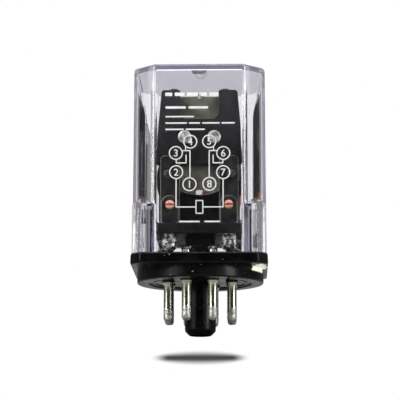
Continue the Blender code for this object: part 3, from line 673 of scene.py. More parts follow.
ZINC = surface(
    "zinc_olive", dark=(0.26, 0.27, 0.19), light=(0.35, 0.35, 0.27), rough=(0.28, 0.42),
    metallic=1.0, patch=0.22, grain=11.0, bump_mm=0.006, stretch=(1, 1, 0.35),
    specks=((0.14, 0.13, 0.1), 2.6, 0.74), edge=((0.75, 0.76, 0.66), 0.24, 0.14, 1.6),
    anisotropic=0.2,
)  # fmt: skip
IRON = surface(
    "iron_turned", dark=(0.26, 0.255, 0.24), light=(0.42, 0.41, 0.39), rough=(0.28, 0.45),
    metallic=1.0, patch=0.5, grain=9.0, bump_mm=0.006, stretch=(0.3, 6, 0.3),
    edge=((0.6, 0.6, 0.58), 0.25, 0.12, 1.4),
)  # fmt: skip
COPPER = surface(
    "copper_bright", dark=(0.85, 0.36, 0.24), light=(1.0, 0.62, 0.46), rough=(0.36, 0.6),
    metallic=0.75, patch=0.9, grain=8.0, bump_mm=0.02, bump_strength=0.8,
    specks=((0.3, 0.07, 0.04), 2.2, 0.72), edge=((1.0, 0.78, 0.62), 0.3, 0.12, 1.4),
)  # fmt: skip
# painted shade: dark red along the screw slots, where they lie in shadow
painted_slot_shade = abs(height_of(COPPER.parts()) - LUG_SCREW_Z).ramp(over=(0.2, 0.3), to=(0.85, 0.0))
COPPER.tint(painted_slot_shade, (0.5, 0.08, 0.04))

COPPER_WIRE = surface(
    "copper_strands", dark=(0.45, 0.13, 0.06), light=(0.78, 0.3, 0.15), rough=(0.28, 0.5),
    metallic=1.0, patch=0.5, grain=9.0, bump_mm=0.006, bump_strength=0.4,
)  # fmt: skip
SILVER = surface(
    "silver_tarnished", dark=(0.46, 0.46, 0.43), light=(0.88, 0.88, 0.85), rough=(0.26, 0.5),
    metallic=1.0, patch=1.3, grain=5.0, bump_mm=0.05, bump_strength=0.8,
    specks=((0.2, 0.19, 0.17), 2.6, 0.7), edge=((1.0, 1.0, 0.98), 0.18, 0.12, 1.2),
)  # fmt: skip
BRONZE = surface(
    "bronze_strip", dark=(0.10, 0.072, 0.045), light=(0.2, 0.15, 0.1), rough=(0.28, 0.45),
    metallic=1.0, patch=0.5, grain=12.0, bump_mm=0.004, stretch=(1, 1, 0.12),
    specks=((0.25, 0.13, 0.06), 2.4, 0.73), edge=((0.4, 0.31, 0.2), 0.25, 0.08, 1.2),
)  # fmt: skip
BRASS = surface(
    "brass_punched", dark=(0.26, 0.17, 0.07), light=(0.45, 0.33, 0.15), rough=(0.22, 0.42),
    metallic=1.0, patch=0.5, grain=11.0, bump_mm=0.005, stretch=(1, 1, 0.15),
    specks=((0.2, 0.14, 0.06), 2.4, 0.73), edge=((0.95, 0.85, 0.6), 0.2, 0.1, 1.4),
)  # fmt: skip
BLACKENED = surface(
    "steel_blackened", dark=(0.012, 0.0125, 0.012), light=(0.03, 0.031, 0.029),
    rough=(0.3, 0.48), metallic=0.35, patch=0.35, grain=9.0, bump_mm=0.008, stretch=(1, 1, 0.3),
    specks=((0.24, 0.24, 0.22), 2.1, 0.755), edge=((0.75, 0.75, 0.7), 0.3, 0.2, 7.0),
)  # fmt: skip
SILVER_DULL = surface(
    "silver_sulphided", dark=(0.035, 0.035, 0.034), light=(0.12, 0.12, 0.115),
    rough=(0.35, 0.55), metallic=0.8, patch=1.1, grain=5.0, bump_mm=0.05, bump_strength=0.8,
    specks=((0.35, 0.35, 0.33), 2.3, 0.68), edge=((0.3, 0.3, 0.29), 0.3, 0.1, 1.2),
)  # fmt: skip
SPRING_STEEL = surface(
    "steel_bright", dark=(0.5, 0.5, 0.5), light=(0.72, 0.72, 0.71), rough=(0.18, 0.34),
    metallic=1.0, patch=0.7, grain=9.0, bump_mm=0.006,
    specks=((0.2, 0.19, 0.18), 2.4, 0.74), edge=((0.95, 0.95, 0.94), 0.16, 0.12, 1.4),
)  # fmt: skip
SOLDER = surface(
    "solder_mottled", dark=(0.05, 0.05, 0.048), light=(0.75, 0.75, 0.73), rough=(0.14, 0.38),
    metallic=1.0, patch=1.1, grain=3.2, bump_mm=0.14, bump_strength=1.0,
    specks=((0.07, 0.07, 0.06), 2.0, 0.62),
)  # fmt: skip
ENAMEL = surface(
    "wire_enamel", dark=(0.3, 0.06, 0.02), light=(0.5, 0.14, 0.05), rough=(0.24, 0.42),
    metallic=0.5, patch=0.4, grain=9.0, bump_mm=0.006, bump_strength=0.4, coat=0.4,
)  # fmt: skip
SLEEVE_GREY = surface(
    "sleeve_grey", dark=(0.075, 0.075, 0.062), light=(0.13, 0.13, 0.11), rough=(0.34, 0.52),
    patch=0.4, grain=5.0, bump_mm=0.02, specks=((0.3, 0.3, 0.28), 2.4, 0.76),
)  # fmt: skip
SLEEVE_RED = surface(
    "sleeve_red", dark=(0.2, 0.012, 0.01), light=(0.36, 0.03, 0.02), rough=(0.32, 0.5),
    patch=0.4, grain=5.0, bump_mm=0.02, specks=((0.5, 0.3, 0.28), 2.4, 0.78),
)  # fmt: skip
INK = surface(
    "ink_white", dark=(0.82, 0.82, 0.81), light=(0.95, 0.95, 0.95), rough=(0.42, 0.6),
    patch=0.6, grain=9.0, bump_mm=0.004, specks=((0.6, 0.6, 0.6), 2.6, 0.76),
)  # fmt: skip


def plated_pin():
    """Bright plating, drawn lengthwise, with a dull grainy coat of solder near the tip."""
    look = Look("pin_plating")
    even_at, drawn = look.coords(), look.coords((1, 1, 0.06))
    lines = look.noise(drawn, scale=7.0, detail=5.0, rough=0.6)
    blotch = look.noise(even_at, scale=0.8, detail=4.0)
    sway = look.noise(even_at, scale=0.9, detail=3.0).ramp(over=(0.3, 0.7), to=(-0.5, 0.5))
    coat = (height_of(look.parts()) + sway).ramp(over=(-6.9, -6.6), to=(1.0, 0.0))
    lumps = look.noise(even_at, scale=2.6, detail=5.0, rough=0.7)
    plating = look.mix(blotch.ramp(over=(0.3, 0.7)), (0.42, 0.42, 0.33), (0.66, 0.67, 0.55))
    solder = look.mix(lumps.ramp(over=(0.36, 0.62)), (0.2, 0.2, 0.19), (0.85, 0.85, 0.82))
    smooth = lines.ramp(over=(0.3, 0.7), to=(0.12, 0.26))
    dull = lumps.ramp(over=(0.3, 0.7), to=(0.3, 0.5))
    look.shade({
        "Base Color": look.mix(coat, plating, solder),
        "Metallic": 1.0,
        "Roughness": smooth * (1.0 - coat) + dull * coat,
    })
    look.bump(lines * 0.12 + lumps * (coat * 2.0), strength=0.7, depth=0.05)
    return look


def dipped_lug():
    """Dark strip with bright cut edges, partly bare metal and partly a painted highlight, mottled
    solder on its lower part.
    """
    look = Look("lug_dipped")
    even_at = look.coords()
    grain = look.noise(look.coords((1, 1, 0.3)), scale=9.0, detail=5.0, rough=0.6)
    blotch = look.noise(even_at, scale=0.45, detail=4.0).ramp(over=(0.35, 0.65))
    up = height_of(look.parts())
    olive = look.mix(blotch, (0.02, 0.022, 0.014), (0.05, 0.053, 0.034))
    blue = look.mix(blotch, (0.012, 0.012, 0.015), (0.03, 0.029, 0.036))
    strip = look.mix(up.ramp(over=(15.4, 17.4)), blue, olive)
    # bright cut edges: bare metal and a painted highlight
    strip = look.mix(look.worn_edge(radius=0.24, gain=7.0), strip, (0.8, 0.8, 0.74))
    lumps = look.noise(even_at, scale=1.1, detail=5.0, rough=0.7)
    solder = look.mix(lumps.ramp(over=(0.46, 0.58)), (0.025, 0.025, 0.022), (0.85, 0.85, 0.83))
    ragged = up + lumps.ramp(over=(0.3, 0.7), to=(-0.8, 0.8))
    dip = ragged.ramp(over=(11.4, 12.0), to=(1.0, 0.0))
    look.shade({
        "Base Color": look.mix(dip, strip, solder),
        "Metallic": dip.ramp(over=(0.0, 1.0), to=(0.55, 1.0)),
        "Roughness": grain.ramp(over=(0.3, 0.7), to=(0.26, 0.44)),
    })
    look.bump(grain * 0.1 + lumps * (dip * 2.0), strength=0.8, depth=0.08)
    return look


def cloth_tape():
    """Black woven tape wound round the coil: threads run round and along."""
    threads = 19.0  # radians of weave per millimetre
    look = Look("tape_woven")
    parts = look.parts()
    up = height_of(parts)
    x, y = (parts.out(k) * 1000.0 for k in "XY")
    turn = look.math("ARCTAN2", x, up - COIL_Z) * TAPE_R1
    weave = look.math("SINE", turn * threads) * look.math("SINE", y * threads)
    dust = look.noise(look.coords(), scale=1.4, detail=5.0)
    colour = look.mix(dust.ramp(over=(0.35, 0.7)), (0.008, 0.008, 0.008), (0.03, 0.029, 0.027))
    raised = weave.ramp(over=(0.2, 1.0), to=(0.0, 0.5))
    look.shade({
        "Base Color": look.mix(raised, colour, (0.045, 0.044, 0.04)),
        "Roughness": dust.ramp(over=(0.3, 0.7), to=(0.45, 0.7)),
        "Sheen Weight": 0.15,
    })
    look.bump(weave, strength=0.7, depth=0.03)
    return look


def paint_dab():
    """White paint that turns dark pink towards the right."""
    look = Look("paint_dab")
    x = look.parts().out("X") * 1000.0
    blotch = look.noise(look.coords(), scale=2.2, detail=4.0)
    shade = (x + blotch.ramp(over=(0.3, 0.7), to=(-0.15, 0.15))).ramp(over=(0.6, 0.8))
    colour = look.mix(shade, (0.97, 0.96, 0.96), (0.2, 0.022, 0.055))
    stain = blotch.ramp(over=(0.5, 0.7), to=(0.0, 0.25))
    look.shade({
        "Base Color": look.mix(stain, colour, (0.6, 0.45, 0.48)),
        "Roughness": blotch.ramp(over=(0.3, 0.7), to=(0.35, 0.55)),
    })
    look.bump(blotch, strength=0.5, depth=0.03)
    return look


PIN, LUG, TAPE, PAINT = plated_pin(), dipped_lug(), cloth_tape(), paint_dab()

# The corner masks of the cover work on |x|, |y| and height in millimetres.
INNER_SUM = 27.2  # |x| + |y| is below this on the inside of a corner face, above it outside


def away_from_middle(parts):
    return (abs(parts.out(k)) * 1000.0 for k in "XY")


def thick_corners(look):
    """A normal for the wall's uneven thickness: strips in the corners bend sight inwards."""
    parts = look.parts()
    up = height_of(parts)
    off_x, off_y = away_from_middle(parts)
    plain = look.add("NewGeometry", out="Normal")
    facing = look.parts(plain)
    slant = abs(facing.out("X") * facing.out("Y"))  # 0.5 on the corner faces, 0 on the sides
    mask = slant.smooth(over=(0.40, 0.46)) * (off_x + off_y < INNER_SUM)
    inner = up.smooth(over=(40.0, 49.8), to=(13.0, 14.4))
    mask = mask * (off_x - inner).smooth(over=(0.0, 0.25)) * off_x.fade(over=(14.55, 14.75))
    mask = mask * up.fade(over=(49.3, 49.8))
    # a second, thin strip beside the front edge bends sight in by less
    edge = off_x.band(rise=(11.2, 11.3), fall=(11.6, 11.75))
    edge = edge * up.band(rise=(18.4, 18.8), fall=(49.6, 50.2))
    edge = edge * (off_x + off_y < INNER_SUM) * slant.smooth(over=(0.2, 0.35))
    mask = look.math("MAXIMUM", mask, edge)
    # the normal's X is turned over and shortened, its Y and Z stretched
    by_height = up.smooth(over=(35.0, 40.0), to=(-0.25, -0.45))
    outer = off_x > 12.2
    turn_x = outer * by_height + (1.0 - outer) * -0.25
    turn = look.add("CombineXYZ", {"X": turn_x, "Y": 1.4, "Z": 1.4})
    bent = look.vector("MULTIPLY", plain, turn)
    both = look.add("Mix", {0: mask, 4: plain, 5: bent}, out=1, data_type="VECTOR")
    # upright flow lines where the feet are thick
    along = parts.out("X") * 1000.0 + parts.out("Y") * 1300.0
    line = look.add(
        "TexNoise", {"Scale": 2.0, "Detail": 2.5, "W": along}, out="Fac", noise_dimensions="1D"
    )
    sway = line.ramp(over=(0.3, 0.7), to=(-0.14, 0.14))
    feet = look.math("MINIMUM", off_x, off_y).smooth(over=(11.6, 12.6))
    feet = up.fade(over=(17.2, 18.6)) * feet
    sideways = look.vector("CROSS_PRODUCT", plain, (0, 0, 1))
    lean = look.add("VectorMath", {0: sideways, "Scale": sway * feet}, operation="SCALE")
    return look.vector("NORMALIZE", look.vector("ADD", both, lean))


# Painted bars for the grey stripes seen in the cover's feet: (millimetres from the middle, grey
# before squaring).
PAINTED_FOOT_BARS = [
    (11.2, 0.8), (11.45, 0.8), (11.55, 1.0), (11.95, 1.0), (12.03, 0.5), (12.18, 0.5),
    (12.26, 0.95), (12.58, 0.85), (12.66, 0.06), (13.0, 0.06), (13.1, 0.8), (13.4, 0.72),
    (13.55, 0.5), (14.3, 0.45), (14.5, 0.8), (14.65, 0.8), (14.75, 0.52), (15.45, 0.52),
    (15.6, 0.8), (15.7, 0.8),
]  # fmt: skip


def foot_bars(look, across):
    first, last = PAINTED_FOOT_BARS[0][0], PAINTED_FOOT_BARS[-1][0]
    stops = []
    for spot, grey in PAINTED_FOOT_BARS:
        blueness = 1.35 if 14.7 < spot < 15.5 else 1.0
        colour = (grey * grey, grey * grey, grey * grey * blueness)
        stops.append(((spot - first) / (last - first), colour))
    stops[-1] = (1.0, stops[-1][1])
    return look.bands(across.ramp(over=(first, last)), stops)


def corner_shades(look):
    """Tint and clearness of the cover's corners, seen along a side.

    Painted, not refracted: the mechanism seen through the corners is painted in as dark upright
    shapes, with grey bands in the thick feet, a lavender rim and a faint glow on the outer corners.
    """
    parts = look.parts()
    up = height_of(parts)
    off_x, off_y = away_from_middle(parts)
    around = look.add("NewGeometry")
    facing = look.parts(around.out("Normal"))
    slant = abs(facing.out("X") * facing.out("Y"))
    sight = look.parts(around.out("Incoming"))
    seen = look.math("MAXIMUM", abs(sight.out("X")), abs(sight.out("Y")))
    seen = seen.smooth(over=(0.84, 0.92))
    within = off_x + off_y < INNER_SUM
    # painted dark shapes above the feet for the mechanism seen through the corners, with painted
    # orange from the copper screws at their foot
    edge = up.smooth(over=(41.0, 48.6), to=(13.1, 14.9))
    shape = (off_x - edge).smooth(over=(0.0, 0.2)) * off_x.fade(over=(15.1, 15.3))
    shape = shape * up.band(rise=(19.0, 19.6), fall=(47.4, 48.2))
    shape = shape * (slant.smooth(over=(0.2, 0.35)) * within * seen)
    tip = up.fade(over=(20.4, 22.2)) * off_x.smooth(over=(14.0, 14.5))
    dark = look.mix(tip, (0.0064, 0.0064, 0.0058), (0.62, 0.09, 0.03))
    # a painted dark line where the front turns into the corner
    on_left = parts.out("X") < 0.0
    spot = off_x + on_left * 0.75
    start = up.smooth(over=(36.0, 39.0), to=(11.5, 11.7))
    line = (spot - start).smooth(over=(0.0, 0.08)) * spot.fade(over=(12.05, 12.15))
    line = line * up.band(rise=(18.6, 19.2), fall=(46.2, 46.8))
    line = line * seen * (1.0 - within)
    line = line * up.smooth(over=(34.0, 42.0), to=(0.95, 0.7))
    # painted grey bars in the feet
    uneven = look.add("TexNoise", {"Scale": 90.0, "Vector": look.object_at()}, out="Fac")
    across = look.math("MINIMUM", off_x, off_y) + on_left * 0.9
    bars = foot_bars(look, across + uneven.ramp(over=(0.3, 0.7), to=(-0.07, 0.07)))
    front = slant.fade(over=(0.2, 0.35)) * (1.0 - around.out("Backfacing"))
    front = front * (seen * (1.0 - within))
    near_corner = look.math("MINIMUM", off_x, off_y).smooth(over=(10.3, 10.5))
    feet = up.fade(over=(16.4, 16.9)) * (front * near_corner)
    tint = look.mix(feet, (0.985, 0.98, 0.995), bars)
    tint = look.mix(shape, tint, dark)
    tint = look.mix(line, tint, (0.004, 0.004, 0.005))
    # painted lavender on the rounded top edge, where the wall is seen through its thickness
    rim = up.smooth(over=(53.2, 53.7)) * facing.out("Z").fade(over=(0.95, 0.99))
    tint = look.mix(rim, tint, (0.62, 0.6, 0.72))
    # a faint painted glow on the outer corners: less clear, showing the pale base colour
    outer = slant.smooth(over=(0.3, 0.4)) * (1.0 - within)
    outer = outer * look.math("MAXIMUM", off_x, off_y).smooth(over=(15.0, 15.5))
    painted_glow = outer * up.smooth(over=(17.0, 18.5), to=(0.2, 0.2))
    return tint, 1.0 - painted_glow


def clear_plastic():
    """Clear polycarbonate: faint lavender in depth, fine scratches, and lamps pass through."""
    look = Look("polycarbonate_clear")
    at = look.coords()
    cloud = look.noise(at, scale=0.25, detail=4.0)
    hair = look.noise(look.coords((1.0, 1.0, 0.04)), scale=3.0, detail=3.0, rough=0.5)
    wave = look.noise(at, scale=0.12, detail=2.0)
    look.bump(hair * 0.12 + wave, strength=0.3, depth=0.012, under=thick_corners(look))
    # painted images of the mechanism in the corners, and a painted glow on their outer faces
    tint, openness = corner_shades(look)
    look.shade({
        "Base Color": tint,
        "Transmission Weight": openness,
        "IOR": 1.57,
        "Roughness": cloud.ramp(over=(0.4, 0.75), to=(0.0, 0.03)),
    })
    path = look.add("LightPath")
    free = look.math("MAXIMUM", path.out("Is Shadow Ray"), path.out("Is Diffuse Ray"))
    look.show(free, look.shader, look.add("BsdfTransparent", [(0.93, 0.92, 0.96)]))
    density, absorb = 42.0, (15.0, 17.5, 8.0)  # absorption of red, green and blue
    left = tuple(1 - a / density for a in absorb)
    look.output({"Volume": look.add("VolumeAbsorption", {"Density": density, "Color": left})})
    return look


CLEAR = clear_plastic()
FROSTED = surface(
    "polycarbonate_gate", dark=(0.2, 0.2, 0.21), light=(0.34, 0.34, 0.35), rough=(0.4, 0.6),
    patch=0.8, grain=6.0, bump_mm=0.02, bump_strength=0.6,
)  # fmt: skip
FROSTED.shade({"Alpha": 0.55})


# ================================================================ base
MIDDLE = (0, 0)


def base_solids():
    """The Boolean steps that turn the puck into the base."""
    recess = solid(
        turned, "Z", MIDDLE,
        [(0, -1), (RECESS_R + 0.05, -1), (RECESS_R, 0.05), (RECESS_R - 0.12, RECESS_D),
         (0, RECESS_D)], 144,
    )  # fmt: skip

    flange = solid(
        drafted, FLANGE_HALF, FLANGE_CHAMFER, FLANGE_Z0, FLANGE_Z1, FLANGE_HALF - FLANGE_DRAFT
    )
    soften(flange, flange.edges[:], 0.4, 5)

    nose_r = SPIGOT_R - SPIGOT_CHAMFER
    shoulder = -SEAT_Z + SPIGOT_CHAMFER
    spigot = solid(
        turned, "Z", MIDDLE,
        [(0, -SEAT_Z), (nose_r - 0.35, -SEAT_Z), (nose_r - 0.12, -SEAT_Z + 0.05),
         (nose_r + 0.08, -SEAT_Z + 0.18), (SPIGOT_R - 0.12, shoulder),
         (SPIGOT_R - 0.02, shoulder + 0.25), (SPIGOT_R, shoulder + 0.5), (SPIGOT_R, 2.2),
         (0, 2.2)], 96,
    )  # fmt: skip

    key_r = 0.35
    corner = [(x, -y) for x, y in arc(KEY_HALF - key_r, -KEY_Y - key_r, key_r, 0, 90, 4)]
    outline = [(KEY_HALF, -2), *corner, *flip(reversed(corner), -1), (-KEY_HALF, -2)]
    key = solid(prism, "Z", outline, KEY_END, 1.6)
    soften(key, level(key, KEY_END), 0.3)

    collars, pin_holes = bmesh.new(), bmesh.new()
    collar = [(0, 0.03), (COLLAR_R - 0.2, 0.03), (COLLAR_R - 0.06, 0.09), (COLLAR_R, 0.2)]
    collar += [(COLLAR_R + 0.05, 1.4), (0, 1.4)]
    for spot in PIN_SPOTS:
        turned(collars, "Z", spot, collar, 36)
        rod(pin_holes, "Z", spot, -1.0, 7.0, PIN_HOLE_R, 36)

    section = [(11.55, 1.0), (11.6, 0.22), (11.7, 0.14), (11.9, 0.14), (12.0, 0.22), (12.05, 1.0)]
    ring = solid(turned, "Z", MIDDLE, section, 120, ring=True)

    tongue_outline = [(-2.5, 5.0), (2.5, 5.0), (2.5, 6.1), (1.7, 7.7), (-1.7, 7.7), (-2.5, 6.1)]
    tongue = solid(prism, "Y", tongue_outline, -15.2, -14.2)
    rounded(tongue, 0.15)

    half = COLUMN_HALF + 0.12
    socket = solid(block, (-half, half), (-half, half), (COLUMN_FOOT - 0.12, 8))

    # ejector marks under the flange corners and a shallow mark on the spigot's end
    marks = bmesh.new()
    for x in (-13.4, 13.4):
        for y in (-13.4, 13.4):
            rod(marks, "Z", (x, y), 3.0, FLANGE_Z0 + 0.09, 1.0, 32)
    rod(marks, "Z", MIDDLE, -SEAT_Z - 1, -SEAT_Z + 0.12, 1.3, 40)

    return [
        cut("base_recess", recess),
        join("base_flange", flange),
        join("base_spigot", spigot),
        join("base_key", key),
        join("base_collars", collars),
        join("base_ring", ring),
        join("base_tongue", tongue),
        cut("base_pin_holes", pin_holes),
        cut("base_socket", socket),
        cut("base_marks", marks),
    ]


def base():
    rim_r = 0.4
    rim = [(PUCK_R - rim_r + u, v) for u, v in arc(0, rim_r, rim_r, -90, 0, 6)]
    profile = [(0, 0), (PUCK_R - 0.9, 0), *rim, (PUCK_R, PUCK_H), (0, PUCK_H)]
    puck = solid(turned, "Z", MIDDLE, profile, 144)
    piece(
        "base_moulding", puck, PHENOLIC, ROOT, "base", base_solids(), angle=28
    )


base()


# ================================================================ pins
def pin_profile():
    """(radius, z): the dipped tip, rings along the solder, a flared collar, and the tail."""
    tip = [(0, 0.12), (0.32, 0.1), (0.46, 0.02), (0.66, 0.02), (0.86, 0.14), (1.03, 0.34)]
    tip += [(1.13, 0.6), (PIN_R, 0.9)]
    profile = [(radius, PIN_END + rise) for radius, rise in tip]
    z = PIN_END + 1.1
    while z < -6.8:
        profile.append((PIN_R + 0.01, z))
        z += 0.2
    flare = [
        (0, -6.7), (0, -3.0), (0, -0.95), (0.06, -0.6), (0.22, -0.32), (0.3, -0.2),
        (0.3, -0.09), (0.24, -0.04), (0.02, -0.03), (0, 0.5), (0, PIN_TAIL - 0.3),
        (-0.08, PIN_TAIL - 0.1), (-0.25, PIN_TAIL),
    ]  # fmt: skip
    return profile + [(PIN_R + more, z) for more, z in flare] + [(0, PIN_TAIL)]


SOLDER_EDGE = (-6.9 + SEAT_Z) * MM
for number, spot in enumerate(PIN_SPOTS, 1):
    bm = solid(turned, "Z", spot, pin_profile(), 36)
    roughen(bm, 0.075, 1.5, number * 3.7, lambda co: co.z < SOLDER_EDGE)
    piece(
        f"pin_{number}_plated", bm, PIN, ROOT, f"pin_{number}",
        angle=50, even_shading=False,
    )  # fmt: skip


# ================================================================ frame block
def frame_block():
    half, corner = DECK_HALF, 0.8
    front, back = DECK_Y0 + corner, DECK_Y1 - corner
    outline = [(half, front), (half, back), (half - corner, DECK_Y1), (corner - half, DECK_Y1)]
    outline += [(-half, back), (-half, front), (corner - half, DECK_Y0), (half - corner, DECK_Y0)]
    deck = solid(prism, "Z", outline, DECK_Z0, DECK_Z1)
    soften(deck, deck.edges[:], 0.18)

    inside = 12.4  # height inside the deck where the added solids begin or end
    wide = (-COLUMN_HALF, COLUMN_HALF)
    column = solid(block, wide, wide, (COLUMN_FOOT, inside))
    soften(column, upright(column), 0.4, 4)

    posts = bmesh.new()
    for side in (-1, 1):
        block(posts, (side * POST_X0, side * POST_X1), (POST_Y0, POST_Y1), (inside, POST_Z1))
    soften(posts, level(posts, POST_Z1) + upright(posts), 0.3)

    across = (-UPSTAND_HALF, UPSTAND_HALF)
    upstand = solid(block, across, (UPSTAND_Y0, DECK_Y1 - 0.05), (inside, UPSTAND_Z1))
    soften(upstand, level(upstand, UPSTAND_Z1), 0.3)

    gap = 0.1
    openings = (  # (x0, x1, y0, y1) of the strips that pass through the deck, with a gap
        (5.5, 9.3, LUG_Y0 - gap, LUG_Y1 + gap),
        (7.2, 9.6, NO_Y0 - gap, NO_Y1 + gap),
        (COMMON_X0 - gap, COMMON_X1 + gap, COMMON_Y0 - gap, COMMON_Y1 + gap),
    )
    slots, holes = bmesh.new(), bmesh.new()
    for side in (-1, 1):
        for x0, x1, y0, y1 in openings:
            block(slots, (side * x0, side * x1), (y0, y1), (10, 15))
        rod(holes, "Z", (side * 6.6, -2.7), 10, 15, 0.55, 24)
        rod(holes, "Y", (side * LUG_X, LUG_SCREW_Z), -11.5, -7.8, LUG_HOLE_R, 24)
        rod(holes, "Y", (side * YOKE_SCREW_X, YOKE_SCREW_Z), 11.5, 15, 1.0, 24)
    steps = [
        join("frame_column", column),
        join("frame_posts", posts),
        join("frame_upstand", upstand),
        cut("frame_slots", slots),
        cut("frame_holes", holes),
    ]
    piece(
        "frame_moulding", deck, NYLON_DEEP, ROOT, "frame_block", steps, angle=28
    )


frame_block()


# ================================================================ magnet
def yoke():
    inner_y, under_z = YOKE_Y1 - YOKE_T, YOKE_Z1 - YOKE_T
    bend = (YOKE_Y1 - OUTER_BEND, YOKE_Z1 - OUTER_BEND)
    outline = [(inner_y, YOKE_Z0), (YOKE_Y1, YOKE_Z0), *arc(*bend, OUTER_BEND, 0, 90, 14)]
    outline += [(YOKE_EDGE_Y, YOKE_Z1), (YOKE_EDGE_Y, under_z), *arc(*bend, INNER_BEND, 90, 0, 12)]
    bracket = solid(prism, "X", outline, -YOKE_HALF, YOKE_HALF)
    rounded(bracket, 0.14, angle=40)

    prongs, holes = bmesh.new(), bmesh.new()
    rod(holes, "Y", (0, COIL_Z), 9.5, 13, 2.55, 48)
    for side in (-1, 1):
        x = (side * PRONG_X0, side * PRONG_X1)
        block(prongs, x, (PRONG_Y, YOKE_EDGE_Y + 1), (under_z + 0.02, YOKE_Z1 - 0.02))
        rod(holes, "Y", (side * YOKE_SCREW_X, YOKE_SCREW_Z), 9.5, 13, 1.0, 32)
    rod(holes, "Y", (0, SPRING_Z), 9.5, 13, 0.55, 28)
    rounded(prongs, 0.12)

    lug_half = 1.6
    tongue = [(-lug_half, 43), (lug_half, 43), *arc(0, SPRING_Z, lug_half, 0, 180, 24)]
    spring_lug = solid(prism, "Y", tongue, inner_y + 0.03, YOKE_Y1 - 0.03)
    rounded(spring_lug, 0.12, angle=50)
    steps = [
        join("yoke_prongs", prongs),
        join("yoke_spring_lug", spring_lug),
        cut("yoke_holes", holes),
    ]
    piece("yoke_bracket", bracket, ZINC, ROOT, "yoke", steps, angle=28)


def slot_cutter(x, z, half_length, half_width, depth, degrees):
    """A bar across a screw head, turned about the screw; depth is its (y0, y1)."""
    bar = solid(block, (x - half_length, x + half_length), depth, (z - half_width, z + half_width))
    pivot = put(x, 0, z)
    turn = Matrix.Rotation(math.radians(degrees), 4, "Y")
    turn = Matrix.Translation(pivot) @ turn @ Matrix.Translation(-pivot)
    bmesh.ops.transform(bar, matrix=turn, verts=bar.verts)
    return bar


def yoke_screw(side, word):
    x = side * YOKE_SCREW_X
    profile = [
        (0, 10.35), (0.7, 10.35), (0.88, 10.6), (0.88, 13.62), (1.65, 13.62), (1.75, 13.7),
        (1.75, 14.05), (1.6, 14.3), (1.3, 14.5), (0.8, 14.6), (0, 14.63),
    ]  # fmt: skip
    screw = solid(turned, "Y", (x, YOKE_SCREW_Z), profile, 40)
    bar = slot_cutter(x, YOKE_SCREW_Z, 2.2, 0.22, (14.2, 15.2), degrees=24 + 31 * side)
    piece(
        f"yoke_screw_{word}_head", screw, SPRING_STEEL, ROOT, f"yoke_screw_{word}",
        [cut(f"yoke_slot_{word}", bar)], angle=35,
    )  # fmt: skip


COIL_AXIS = (0, COIL_Z)


def core():
    neck = BOBBIN_Y0 - 0.15
    profile = [
        (0, POLE_Y), (1.0, POLE_Y + 0.02), (POLE_R - 0.25, POLE_Y), (POLE_R - 0.08, POLE_Y + 0.07),
        (POLE_R, POLE_Y + 0.25), (POLE_R, neck), (CORE_R, neck), (CORE_R, 10.35), (2.4, 10.35),
        (2.4, 12.15), (3.0, 12.15), (3.1, 12.25), (2.95, 12.5), (2.6, 12.72), (1.8, 12.85),
        (0, 12.87),
    ]  # fmt: skip
    bm = solid(turned, "Y", COIL_AXIS, profile, 72)
    piece("core_pole", bm, IRON, ROOT, "core", angle=35)


def bobbin():
    def lip(y_out, y_in, sign):
        """The rounded rim of a flange, from its outer face to its inner face."""
        outer = [(BOBBIN_R - 0.22, 0), (BOBBIN_R - 0.07, 0.06), (BOBBIN_R, 0.22)]
        ends = [(radius, y_out + sign * step) for radius, step in outer]
        return ends + [(radius, y_in - sign * step) for radius, step in reversed(outer)]

    front, back = BOBBIN_Y0 + BOBBIN_WALL, BOBBIN_Y1 - BOBBIN_WALL
    bore = CORE_R + 0.15
    profile = [(bore, BOBBIN_Y0), *lip(BOBBIN_Y0, front, 1), (HUB_R, front), (HUB_R, back)]
    profile += [*reversed(lip(BOBBIN_Y1, back, -1)), (bore, BOBBIN_Y1)]
    bm = solid(turned, "Y", COIL_AXIS, profile, 112, ring=True)
    piece("bobbin_moulding", bm, NYLON_DEEP, ROOT, "bobbin")


def winding():
    turns = 44
    pitch = (WOUND_Y1 - WOUND_Y0) / turns
    profile = [(HUB_R + 0.15, WOUND_Y0)]
    for i in range(turns):
        profile += [
            (WINDING_R - 0.09, WOUND_Y0 + pitch * i + 0.001),
            (WINDING_R - 0.02, WOUND_Y0 + pitch * (i + 0.25)),
            (WINDING_R, WOUND_Y0 + pitch * (i + 0.5)),
            (WINDING_R - 0.02, WOUND_Y0 + pitch * (i + 0.75)),
        ]
    profile += [(WINDING_R - 0.09, WOUND_Y1), (HUB_R + 0.15, WOUND_Y1)]
    bm = solid(turned, "Y", COIL_AXIS, profile, 72, ring=True)
    piece(
        "coil_turns", bm, ENAMEL, ROOT, "coil_winding",
        angle=60, even_shading=False,
    )  # fmt: skip


def tape():
    """Three laps side by side, each rising a little towards the back."""
    start, end = WOUND_Y0 + 0.15, WOUND_Y1 - 0.15
    width = (end - start) / 3
    outer = []
    for i in range(3):
        low, high = start + width * i, start + width * (i + 1)
        outer += [(TAPE_R1 - 0.14, low + 0.02), (TAPE_R1 - 0.03, low + 0.12)]
        outer += [(TAPE_R1 - 0.01, (low + high) / 2), (TAPE_R1, high - 0.06)]
        outer.append((TAPE_R1 - 0.04, high))
    profile = [(TAPE_R0, start), *outer, (TAPE_R0, end)]
    bm = solid(turned, "Y", COIL_AXIS, profile, 112, ring=True)

    def on_outside(spot):
        return math.hypot(spot.x, spot.z - (COIL_Z + SEAT_Z) * MM) > (TAPE_R1 - 0.2) * MM

    roughen(bm, 0.05, 0.35, 4.2, on_outside)
    piece("coil_wrap", bm, TAPE, ROOT, "coil_tape", angle=40, even_shading=False)


yoke()
for side, word in SIDES:
    yoke_screw(side, word)
core()
bobbin()
winding()
tape()


